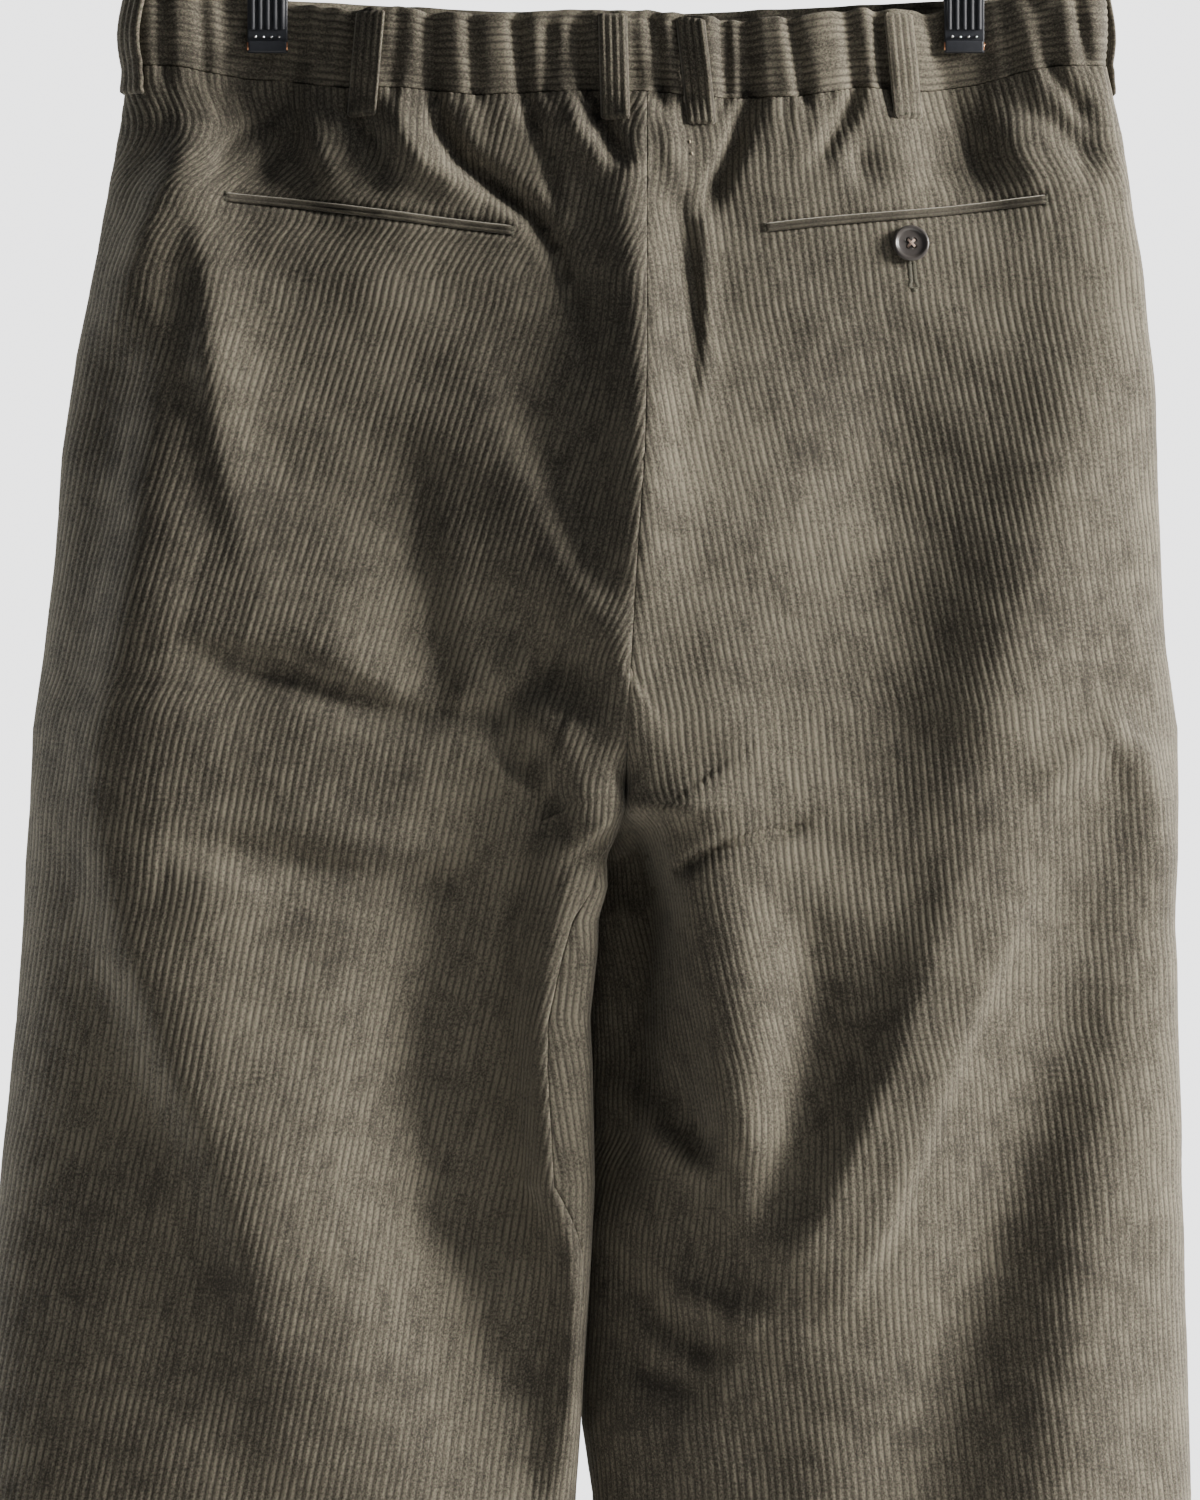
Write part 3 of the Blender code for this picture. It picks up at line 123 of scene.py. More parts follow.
# Each fold is (reach on its left, reach on its right, [(x, drop, height) ...]) for a path that
# runs down; one that runs to the right has its reaches below and above. A valley's height is
# under 0. The first are the gathers that the elastic makes.
BACK_FOLDS = [
    (3, 3, [(-192, -3, -2), (-191, 27, -3), (-189, 37, 0)]),
    (3, 3, [(-175, -3, -2), (-173, 34, -3), (-169, 49, 0)]),
    (3, 4, [(-165, -2, -2.5), (-165, 38, -3), (-169, 52, 0)]),
    (3, 5, [(-137, 1, -3), (-136, 32, -5), (-143, 44, -8), (-155, 55, -8), (-165, 64, -6), (-172, 80, 0)]),
    (3, 3, [(-124, 2, -2.5), (-125, 34, -2.5), (-122, 43, 0)]),
    (4, 6, [(-113, 2, -3), (-115, 34, -3), (-113, 47, -5), (-104, 60, -6), (-100, 73, -4), (-103, 86, 0)]),
    (3, 3, [(-92, 5, -2), (-93, 37, -2), (-94, 44, 0)]),
    (4, 5, [(-79, 5, -4), (-78, 39, -5), (-75, 53, -8), (-66, 68, -10), (-50, 80, -12), (-35, 92, -11),
            (-25, 107, -8), (-16, 132, -4), (-11, 170, 0)]),
    (3, 3, [(-61, 9, -2), (-59, 41, -2.5), (-61, 47, 0)]),
    (3, 4, [(-42, 10, -3.5), (-39, 41, -4), (-35, 54, -6), (-29, 68, -6), (-27, 82, -3), (-25, 96, 0)]),
    (3, 3, [(-28, 12, -2), (-29, 40, -2), (-27, 46, 0)]),
    (4, 4, [(-16, 12, -3.5), (-13, 37, -5), (-8, 49, -7), (-1, 62, -6), (5, 72, 0)]),
    (3, 3, [(15, 8, -3), (19, 41, -3), (22, 53, 0)]),
    (4, 4, [(27, 10, -4), (31, 40, -4), (35, 55, 0)]),
    (3, 3, [(45, 7, -3), (47, 38, -3), (44, 49, 0)]),
    (4, 5, [(54, 6, -4), (56, 42, -6), (50, 61, -7), (42, 78, -6), (36, 95, 0)]),
    (3, 3, [(73, 6, -3), (79, 40, -3), (82, 47, 0)]),
    (4, 5, [(97, 5, -3.5), (101, 38, -4), (95, 52, -5), (87, 65, -3), (82, 73, 0)]),
    (3, 4, [(110, 3, -3.5), (114, 34, -4), (118, 49, 0)]),
    (3, 5, [(130, 0, -3), (138, 27, -3.5), (142, 41, -4), (146, 55, -6), (151, 68, -6), (155, 83, 0)]),
    (3, 3, [(163, -1, -2), (167, 28, -2), (171, 38, 0)]),
    (4, 5, [(176, -3, -3), (183, 24, -3.5), (188, 35, -4), (197, 47, -4), (205, 59, 0)]),
    (3, 3, [(194, -3, -2), (200, 24, -2), (203, 34, 0)]),
    (6, 9, [(-131, 37, 3), (-128, 51, 8), (-123, 65, 8), (-118, 81, 2)]),
    (4, 4, [(-150, 34, -3), (-147, 50, -5), (-146, 66, -5), (-148, 82, 0)]),
    (8, 7, [(-95, 41, 2), (-90, 57, 6), (-82, 69, 7), (-69, 78, 5), (-53, 85, 0)]),
    (7, 6, [(-21, 41, 2), (-17, 53, 5), (-9, 67, 4), (-4, 76, 0)]),
    (7, 7, [(10, 46, 2), (10, 65, 4), (8, 82, 0)]),
    (8, 6, [(20, 49, 3), (24, 66, 5), (27, 84, 0)]),
    (8, 9, [(119, 52, 1), (122, 68, 4), (125, 84, 0)]),
    (5, 7, [(106, 54, -1), (103, 69, -4), (106, 84, 0)]),
    (8, 8, [(155, 39, 2), (162, 51, 5), (171, 66, 5), (181, 81, 0)]),
    (6, 9, [(161, 43, 0), (176, 47, -4), (187, 53, -6), (196, 63, -6), (200, 82, 0)]),
    (12, 19, [(-164, 41, 4), (-175, 58, 9), (-186, 80, 11), (-196, 103, 10), (-205, 131, 7),
            (-215, 154, 0)]),
    (17, 42, [(-183, 112, 0), (-186, 153, 8), (-191, 197, 11), (-196, 237, 12), (-202, 277, 12),
            (-210, 312, 10), (-212, 338, 9), (-207, 368, 10), (-198, 401, 11), (-186, 435, 11),
            (-171, 469, 11), (-158, 506, 10), (-149, 544, 8), (-139, 582, 5), (-131, 624, 0)]),
    (9, 13, [(-174, 82, 1), (-172, 109, 5), (-169, 145, 6), (-165, 178, 5), (-159, 216, 3),
            (-151, 246, 0)]),
    (8, 42, [(-179, 264, 0), (-154, 271, 5), (-122, 280, 7), (-93, 293, 6), (-72, 298, 0)]),
    (9, 6, [(-185, 274, 0), (-168, 278, -3), (-152, 280, -5), (-133, 283, -6), (-116, 291, -6),
            (-99, 298, -6), (-82, 302, -6), (-65, 303, -5), (-49, 299, -5), (-35, 288, -5), (-24, 272, 0)]),
    (22, 11, [(-90, 176, 0), (-86, 204, -3), (-83, 235, -6), (-79, 266, -8), (-76, 292, -7),
            (-73, 306, 0)]),
    (26, 12, [(-68, 149, 0), (-49, 185, 5), (-36, 212, 8), (-25, 237, 9), (-14, 257, 8), (-3, 273, 3)]),
    (12, 12, [(-42, 257, -1), (-29, 274, -6), (-15, 292, -8), (-6, 306, -4)]),
    (9, 18, [(-40, 290, 1), (-32, 306, 4), (-25, 322, 6), (-18, 338, 5), (-11, 354, 0)]),
    (10, 7, [(-46, 307, -2), (-34, 321, -6), (-26, 338, -7), (-24, 357, 0)]),
    (4, 4, [(-69, 318, 0), (-53, 323, 2.5), (-42, 330, 3), (-29, 337, 0)]),
    (16, 8, [(-191, 355, 0), (-162, 359, -5), (-133, 364, -8), (-108, 369, -8), (-78, 370, -8),
            (-54, 366, 0)]),
    (20, 6, [(-187, 367, 0), (-169, 371, 4), (-155, 376, 4), (-146, 390, 0)]),
    (46, 14, [(-34, 338, -2), (-44, 363, -12), (-50, 393, -18), (-51, 422, -21), (-49, 456, -22),
            (-46, 485, -22), (-42, 512, -20), (-36, 544, -16), (-35, 582, -13), (-38, 619, -9),
            (-42, 674, 0)]),
    (26, 34, [(-92, 366, 0), (-90, 396, -4), (-88, 430, -6), (-86, 470, -7), (-80, 510, -8), (-72, 550, -7),
            (-62, 592, -5), (-56, 640, 0)]),
    (8, 11, [(-10, 359, 2), (-18, 393, 3), (-19, 422, 4), (-18, 456, 4), (-19, 485, 4), (-21, 504, 5),
            (-12, 527, 5), (-13, 561, 4), (-17, 603, 2), (-19, 640, 0)]),
    (40, 40, [(-124, 477, 0), (-122, 527, 3), (-112, 569, 4), (-100, 611, 4), (-90, 657, 3),
            (-80, 724, 0)]),
    (15, 15, [(1, 58, 3), (4, 82, 8), (8, 111, 11), (10, 141, 12), (11, 170, 12), (11, 197, 11),
            (10, 225, 8), (9, 254, 4), (8, 283, 0)]),
    (26, 66, [(6, 120, 0), (8, 180, 7), (9, 230, 13), (8, 275, 14), (8, 308, 14), (9, 332, 14),
            (13, 352, 13), (17, 372, 10), (21, 400, 5), (25, 430, 0)]),
    (34, 34, [(104, 120, 0), (112, 190, -5), (116, 250, -6), (112, 310, -4), (106, 350, 0)]),
    (6, 3, [(26, 79, 0), (28, 92, -2), (31, 111, -2.6), (33, 132, -2.2), (34, 152, 0)]),
    (3, 5, [(35, 73, 0), (37, 94, 1.6), (38, 120, 2.2), (38, 149, 2), (36, 174, 1), (32, 191, 0)]),
    (14, 14, [(18, 270, 0), (28, 296, -1.2), (35, 318, -1.2), (42, 336, -0.8), (48, 352, 0)]),
    (30, 38, [(203, 44, 2), (207, 78, 7), (205, 107, 9), (201, 136, 11), (194, 166, 13), (186, 193, 14),
            (180, 221, 14), (174, 250, 13), (166, 279, 11), (157, 309, 9), (147, 339, 6), (137, 372, 0)]),
    (9, 9, [(174, 343, 0), (183, 327, 3), (195, 317, 5), (208, 312, 6), (219, 320, 6), (225, 338, 5),
            (227, 363, 3), (224, 393, 0)]),
    (28, 24, [(203, 325, -2), (202, 351, -7), (200, 380, -9), (197, 409, -9), (190, 443, -10),
            (181, 472, -11), (172, 502, -11), (163, 531, -11), (153, 561, -10), (145, 590, -9),
            (139, 619, -8), (132, 657, -5), (126, 712, 0)]),
    (30, 30, [(213, 351, 2), (215, 380, 5), (215, 414, 6), (213, 447, 7), (208, 481, 8), (202, 511, 9),
            (196, 544, 10), (191, 577, 11), (186, 615, 12), (181, 661, 11), (176, 716, 9), (172, 800, 0)]),
    (16, 30, [(157, 353, 0), (145, 380, 6), (135, 405, 9), (126, 431, 12), (116, 456, 14), (103, 485, 15),
            (91, 510, 14), (78, 531, 12), (66, 550, 8), (54, 569, 4), (42, 594, 0)]),
    (12, 5, [(178, 363, 0), (163, 398, 3), (150, 425, 4), (140, 449, 4), (131, 472, 4), (121, 498, 4),
            (110, 523, 3), (97, 544, 2), (82, 558, 0)]),
    (12, 36, [(10, 336, 0), (15, 345, 4), (21, 352, 8), (26, 360, 12), (32, 371, 15), (36, 388, 18),
            (39, 409, 20), (43, 435, 22), (47, 460, 22), (49, 485, 21), (53, 503, 16), (57, 519, 9),
            (62, 540, 0)]),
    (19, 9, [(1, 347, 0), (4, 353, -20), (9, 359, -36), (13, 372, -38), (15, 384, -34), (13, 412, -24),
            (9, 446, -14), (6, 480, -8), (3, 512, 0)]),
    (14, 14, [(56, 367, 0), (75, 393, -4), (82, 422, -7), (81, 456, -8), (76, 481, -8), (70, 503, -6),
            (63, 525, 0)]),
    (3, 2.2, [(26, 367, -6), (35, 361, -6.5), (45, 357, -6), (56, 354, -5), (70, 351, -3.5), (84, 346, 0)]),
    (10, 10, [(8, 441, -3), (22, 462, -8), (35, 481, -10), (45, 493, -4)]),
    (8, 8, [(4, 461, 2), (18, 479, 5), (33, 492, 6), (45, 499, 1)]),
    (8, 8, [(-3, 530, -2), (10, 545, -5), (21, 557, -6), (35, 567, -6), (50, 573, 0)]),
    (6, 7, [(19, 539, 1), (35, 548, 5), (50, 556, 4), (62, 564, 0)]),
    (7, 7, [(-6, 560, -2), (10, 577, -5), (31, 585, -4), (42, 591, 0)]),
]

# The front hangs plainly from the clips.
FRONT_FOLDS = [
    (5, 6, [(-170, 0, -2), (-172, 40, -3), (-178, 90, 0)]),
    (6, 7, [(-122, 0, -3), (-118, 40, -4), (-108, 80, -3), (-96, 130, 0)]),
    (6, 7, [(-82, 4, -2), (-80, 40, -3), (-74, 80, 0)]),
    (7, 7, [(-40, 6, -2), (-40, 40, -3), (-38, 90, 0)]),
    (6, 7, [(62, 6, -2), (64, 40, -3), (60, 85, 0)]),
    (6, 7, [(104, 2, -2), (100, 40, -4), (92, 84, -3), (84, 130, 0)]),
    (5, 6, [(168, 0, -2), (172, 40, -3), (178, 92, 0)]),
    (26, 34, [(-190, 150, 0), (-186, 280, 7), (-182, 420, 9), (-190, 600, 6), (-200, 860, 0)]),
    (24, 30, [(-104, 180, 0), (-96, 330, 5), (-92, 480, 7), (-100, 700, 6), (-110, 1040, 3)]),
    (24, 30, [(186, 150, 0), (182, 280, 8), (170, 420, 9), (168, 600, 7), (172, 860, 0)]),
    (26, 24, [(92, 180, 0), (88, 330, 6), (86, 480, 7), (94, 700, 6), (104, 1040, 3)]),
    (12, 14, [(-60, 330, 0), (-52, 400, -5), (-58, 500, -6), (-70, 620, 0)]),
    (12, 14, [(62, 330, 0), (56, 400, -5), (60, 500, -6), (70, 620, 0)]),
]

FOLDS = {"back": BACK_FOLDS, "front": FRONT_FOLDS}
FOLD_FADE = 2.6  # a fold has died away this many reaches from its path


def column(table, value, at):
    """One column of a table, read between its rows at places in the first column."""
    rows = np.array(table, float)
    return np.interp(at, rows[:, 0], rows[:, value])


def ease(t):
    t = np.clip(t, 0.0, 1.0)
    return t * t * (3 - 2 * t)


def relief(folds, x, drop):
    """Height of the folds over the plain ring; each is worked out only near its own path."""
    total = np.zeros(x.shape)
    for left_reach, right_reach, path in folds:
        far = FOLD_FADE * max(left_reach, right_reach)
        xs, drops, _ = zip(*path)
        near = (x > min(xs) - far) & (x < max(xs) + far)
        near &= (drop > min(drops) - far) & (drop < max(drops) + far)
        if not near.any():
            continue
        px, pd = x[near], drop[near]
        nearest, height, reach = np.full(px.shape, np.inf), np.zeros(px.shape), np.ones(px.shape)
        for (x0, d0, h0), (x1, d1, h1) in zip(path, path[1:]):
            run, fall = x1 - x0, d1 - d0
            share = np.clip(((px - x0) * run + (pd - d0) * fall) / (run * run + fall * fall), 0, 1)
            off_x, off_d = px - x0 - share * run, pd - d0 - share * fall
            away = np.hypot(off_x, off_d)
            nearer = away < nearest
            nearest = np.where(nearer, away, nearest)
            right = fall * off_x - run * off_d > 0
            reach = np.where(nearer, np.where(right, right_reach, left_reach), reach)
            height = np.where(nearer, h0 + share * (h1 - h0), height)
        total[near] += height * np.exp(-((nearest / reach) ** 2))
    return total


def pinch(x, drop):
    """Share of the cloth's depth that the clips leave."""
    near = np.exp(-(((np.abs(x) - CLIP_X) / PINCH_REACH) ** 2))
    return 1 - PINCH * near * (1 - ease((drop - PINCH_START) / PINCH_FADE))


def pressed(height, x, drop):
    """The folds' height, lowered at the clips."""
    return height * (1 - PRESSED * (1 - pinch(x, drop)) / PINCH)


HEADING_REACH = 1.5  # a ring's heading is read between points this far along it to each side


def ring(side, face, drop, shares):
    """x, y, outward normals, length run and turn past the centre, at shares of a ring's length.

    The angle is 0 at the side seam and a right angle in the middle of the face. It ends there
    on the torso, at the centre seam, and at two right angles on a leg, at the inner leg seam.
    """
    sign = SIDES[side]
    outer, inner, inner_y, seam_turn = (
        column(OUTLINE[side], part, drop) for part in (OUTER, INNER, INNER_Y, SEAM_TURN)
    )
    below = min(max((drop - TURN_DROP) / (CROTCH_DROP - TURN_DROP), 0.0), 1.0)
    turn = 1 - (1 - below ** TURN_EASE) ** TURN_POWER
    end = math.pi / 2 * (1 + float(ease((drop - SEAT_DROP) / (CROTCH_DROP - SEAT_DROP))))
    half = abs(outer - inner) / (1 - math.cos(end))
    stop = end + FACES[face] * math.radians(seam_turn)
    angle = np.append(np.linspace(0, stop, RING_STEPS), stop + stop / RING_STEPS)
    x = outer - sign * half * (1 - np.cos(angle))
    depths, squares = (BACK_DEPTH, FRONT_DEPTH), (BACK_SQUARE, FRONT_SQUARE)
    if face == "front":
        depths, squares = depths[::-1], squares[::-1]
    own_depth, other_depth = (column(DEPTH, part, drop) for part in depths)
    own_square, other_square = (column(OUTLINE[side], part, drop) for part in squares)
    past_seam = angle > math.pi
    reach = np.where(past_seam, -other_depth, own_depth)
    square = np.where(past_seam, other_square, np.where(angle < math.pi / 2, SQUARENESS, own_square * turn))
    y = FACES[face] * reach * np.abs(np.sin(angle)) ** square * pinch(x, drop)
    y += inner_y * ((1 - np.cos(angle)) / 2) ** INNER_BEND
    length = np.concatenate([[0], np.cumsum(np.hypot(np.diff(x), np.diff(y)))])
    at = shares * length[-2]
    before, after = at - HEADING_REACH, at + HEADING_REACH
    run_x, run_y = (np.interp(after, length, line) - np.interp(before, length, line) for line in (x, y))
    spin = sign * FACES[face]
    normal = np.stack([spin * run_y, -spin * run_x], 1)
    normal /= np.linalg.norm(normal, axis=1)[:, None]
    return np.interp(at, length, x), np.interp(at, length, y), normal, at, turn


def fold_aim(normal, face, shares):
    """Which way the folds rise: off the ring by the side seam, straight out further in."""
    straight = ease((shares - 0.35) / 0.3)[:, None]
    aim = normal * (1 - straight) + np.array([0.0, FACES[face]]) * straight
    return aim / np.linalg.norm(aim, axis=-1)[..., None]


FRONT_SEAM_RISE = 5.0  # from the centre outwards
SIDE_SEAM_RISE = 10.5  # at the side seams, back and front
SEAM_LEVEL = 110.0  # the rows come level again over this length


def seam_shift(x, drop, face):
    """How far a row at this drop sags, as the waist seam does."""
    if face == "front":
        fall = FRONT_SEAM_RISE * np.exp(-((x / 90) ** 2)) - FRONT_SEAM_RISE
    else:
        fall = column(WAIST_SEAM, 1, x) - SEAM_DROP
    ends = ease((np.abs(x) - 150) / 50)
    fall = fall * (1 - ends) - SIDE_SEAM_RISE * ends
    return fall * (1 - ease((drop - SEAM_DROP) / SEAM_LEVEL))


def uneven(x, drop, size, count, seed):
    """Low swells of no set direction, about size mm from crest to crest, within -1 to 1."""
    roll = np.random.default_rng(seed)
    total = np.zeros(x.shape)
    for _ in range(count):
        turn, start = roll.uniform(0, math.pi), roll.uniform(0, 6.3)
        long = roll.uniform(0.7, 1.5) * size
        total += np.sin(2 * math.pi * (x * math.cos(turn) + drop * math.sin(turn)) / long + start)
    return total / count ** 0.5 / 1.6


# The corduroy has eight wales to the inch, cut pile on a plain ground. A wale is three columns
# of points, one down in the groove and two on the crown, that follow the grain.
WALE = 3.175
WALE_POINTS = 3
GROOVE = 0.36
CROWN = 0.12
CLOTH = 1.4  # ground and pile behind the crowns
FINE_LUMP, LONG_LUMP, LUMP_ROWS = 0.04, 0.05, 6  # the pile's own unevenness
RIM = 0.4  # a wale's column stops this share of a fine step before an edge
RIM_SUNK = 0.1
INNER_COLUMNS = 44
UV_SPAN = 100.0  # millimetres of cloth to a UV unit


def linked(name, data):
    made = bpy.data.objects.new(name, data)
    bpy.context.scene.collection.objects.link(made)
    return made


def mesh_of(name, points, faces, u, v):
    """A smooth mesh in metres whose UV is the place on the cloth, across and along the wales."""
    mesh = bpy.data.meshes.new(name)
    mesh.from_pydata((points * MM).tolist(), [], faces)
    uv = mesh.uv_layers.new(name="cloth")
    loop_vertex = np.zeros(len(mesh.loops), np.int32)
    mesh.loops.foreach_get("vertex_index", loop_vertex)
    flat = np.stack([u[loop_vertex], v[loop_vertex]], 1) / UV_SPAN
    uv.data.foreach_set("uv", flat.astype(np.float32).ravel())
    mesh.shade_smooth()
    mesh.validate()
    return linked(name, mesh)


def normals_of(grid, like):
    along, down = np.gradient(grid, axis=1), np.gradient(grid, axis=0)
    normal = np.cross(along, down)
    normal /= np.maximum(np.linalg.norm(normal, axis=2), 1e-9)[:, :, None]
    return normal * np.sign((normal * like).sum(axis=2).mean())


def whole_faces(quads):
    """Quads without the corners that coincide; those that collapse are dropped."""
    same = (quads == np.roll(quads, 1, axis=1)).any(axis=1)
    faces = quads[~same].tolist()
    for quad in quads[same].tolist():
        kept = [c for i, c in enumerate(quad) if c != quad[i - 1]]
        if len(kept) > 2:
            faces.append(kept)
    return faces


def quads_of(ids, down_first=False):
    """The quads of a grid of point numbers, wound one way or the other."""
    corners = [ids[:-1, :-1], ids[:-1, 1:], ids[1:, 1:], ids[1:, :-1]]
    if down_first:
        corners = [corners[0], *corners[:0:-1]]
    return np.stack(corners, axis=2).reshape(-1, 4)


def corded(name, grid, u, v, like, back_rows, depth=CLOTH, groove=GROOVE):
    """Corduroy with its wales down the rows: grid holds fine points, u the place across the cloth.

    Each row is read at the wales' own columns; those past an edge stop at the seam. The rim is
    turned in by the cloth's thickness, and a plain inner face closes the wall.
    """
    normal = normals_of(grid, like)
    rows, fine = u.shape
    step = WALE / WALE_POINTS
    marks = np.arange(math.ceil(u.min() / step), math.floor(u.max() / step) + 1)
    index = np.arange(fine, dtype=float)
    rising = np.maximum.accumulate(u, axis=1)
    place = np.array([np.interp(marks * step, row, index, left=-1, right=fine) for row in rising])
    roll = np.random.default_rng(len(name))
    lump = roll.uniform(-1, 1, (rows, len(marks))) * FINE_LUMP
    long_lumps = roll.uniform(-1, 1, (rows // LUMP_ROWS + 1, len(marks)))
    lump += np.repeat(long_lumps, LUMP_ROWS, axis=0)[:rows] * LONG_LUMP
    height = np.where(marks % WALE_POINTS == 0, CROWN - groove, CROWN)[None, :] + lump
    height[0], height[-1] = -depth, -depth

    past_start, past_end = place <= RIM, place >= fine - 1 - RIM
    inside = ~(past_start | past_end)
    spot = np.clip(place, 0, fine - 1.001)
    low = spot.astype(int)
    part = (spot - low)[:, :, None]
    row = np.arange(rows)[:, None]
    points = grid[row, low] * (1 - part) + grid[row, low + 1] * part
    points = points + normal[row, low] * height[:, :, None]
    count = int(inside.sum())
    ids = np.zeros(place.shape, int)
    ids[inside] = np.arange(count)
    edge_points, edge_u, edge_ids = [], [], []
    for at, past in ((0, past_start), (fine - 1, past_end)):
        lip = grid[:, at] - normal[:, at] * depth
        rim = grid[:, at] - normal[:, at] * RIM_SUNK
        rim[0], rim[-1] = lip[0], lip[-1]
        rim_ids = count + 2 * rows * len(edge_ids) + row
        ids[past] = (rim_ids + np.zeros_like(ids))[past]
        edge_points += [rim, lip]
        edge_u += [u[:, at], u[:, at]]
        edge_ids.append(rim_ids)
    left, right = edge_ids
    ids = np.concatenate([left + rows, left, ids, right, right + rows], axis=1)
    faces = whole_faces(quads_of(ids))
    all_points = np.concatenate([points[inside]] + edge_points)
    a, b, c = (all_points[[face[i] for face in faces[:400]]] for i in range(3))
    outwards = np.median((np.cross(b - a, c - a) * like).sum(axis=1)) >= 0

    kept = np.unique(np.round(np.linspace(1, rows - 2, back_rows)).astype(int))
    kept_columns = np.unique(np.round(np.linspace(0, fine - 1, INNER_COLUMNS)).astype(int))
    inner = (grid - normal * depth)[kept][:, kept_columns]
    inner_ids = len(all_points) + np.arange(inner.shape[0] * inner.shape[1]).reshape(inner.shape[:2])
    faces += quads_of(inner_ids, down_first=True).tolist()
    if not outwards:
        faces = [face[::-1] for face in faces]
    all_points = np.concatenate([all_points, inner.reshape(-1, 3)])
    cords_u, cords_v = (np.broadcast_to(part, place.shape)[inside] for part in (marks * step, v[:, None]))
    all_u = np.concatenate([cords_u] + edge_u + [u[kept][:, kept_columns].ravel()])
    all_v = np.concatenate([cords_v] + [v] * 4 + [np.repeat(v[kept], inner.shape[1])])
    return mesh_of(name, all_points, faces, all_u, all_v)


class Value:
    """A socket in a tree of nodes. Arithmetic on it adds the Math nodes that do it."""

    def __init__(self, nodes, socket):
        self.nodes, self.socket = nodes, socket

    def math(self, operation, *others):
        return self.nodes.node("ShaderNodeMath", {"operation": operation}, dict(enumerate(others)))

    def __add__(self, other):
        return self.math("ADD", self, other)

    def __radd__(self, other):
        return self.math("ADD", other, self)

    def __sub__(self, other):
        return self.math("SUBTRACT", self, other)

    def __rsub__(self, other):
        return self.math("SUBTRACT", other, self)

    def __mul__(self, other):
        return self.math("MULTIPLY", self, other)

    def __rmul__(self, other):
        return self.math("MULTIPLY", other, self)

    def __truediv__(self, other):
        return self.math("DIVIDE", self, other)

    def fract(self):
        return self.math("FRACT", self)

    def floor(self):
        return self.math("FLOOR", self)

    def size(self):
        return self.math("ABSOLUTE", self)

    def step(self, low, high):
        """0 below low, 1 above high, smooth between."""
        settings = {"interpolation_type": "SMOOTHSTEP"}
        links = {"Value": self, "From Min": low, "From Max": high}
        return self.nodes.node("ShaderNodeMapRange", settings, links)


class Nodes:
    """A tree of nodes, and the method that adds any node to it."""

    def node(self, kind, settings=None, links=None, out=0):
        made = self.tree.nodes.new(kind)
        for key, value in (settings or {}).items():
            setattr(made, key, value)
        for key, value in (links or {}).items():
            if isinstance(value, Value):
                self.tree.links.new(value.socket, made.inputs[key])
            else:
                made.inputs[key].default_value = value
        return Value(self, made.outputs[out])


class Finish(Nodes):
    """One material."""

    def __init__(self, name, colour=None, **sockets):
        self.material = bpy.data.materials.new(name)
        self.material.use_nodes = True
        self.tree = self.material.node_tree
        self.shader = self.tree.nodes["Principled BSDF"]
        if colour:
            self.shader.inputs["Base Color"].default_value = (*colour, 1)
        for socket, value in sockets.items():
            self.shader.inputs[socket.replace("_", " ")].default_value = value

    def mix(self, share, a, b, blend="MIX"):
        """Colour a where share is 0, b where it is 1."""
        a, b = (part if isinstance(part, Value) else (*part, 1) for part in (a, b))
        settings = {"data_type": "RGBA", "blend_type": blend}
        return self.node("ShaderNodeMix", settings, {0: share, 6: a, 7: b}, 2)

    def noise(self, at, scale, detail, rough):
        links = {"Vector": at, "Scale": scale, "Detail": detail, "Roughness": rough}
        return self.node("ShaderNodeTexNoise", None, links)

    def place(self):
        """The place of a point on the object."""
        return self.node("ShaderNodeTexCoord", out=3)

    def give(self, socket, value):
        self.tree.links.new(value.socket, self.shader.inputs[socket])


PILE_SHADED = (0.056, 0.050, 0.043)
PILE_WORN = (0.227, 0.205, 0.163)
# the ground weave's colour, darkened past it as painted shade for the grooves
GROUND_WITH_GROOVE_SHADE = (0.037, 0.032, 0.029)
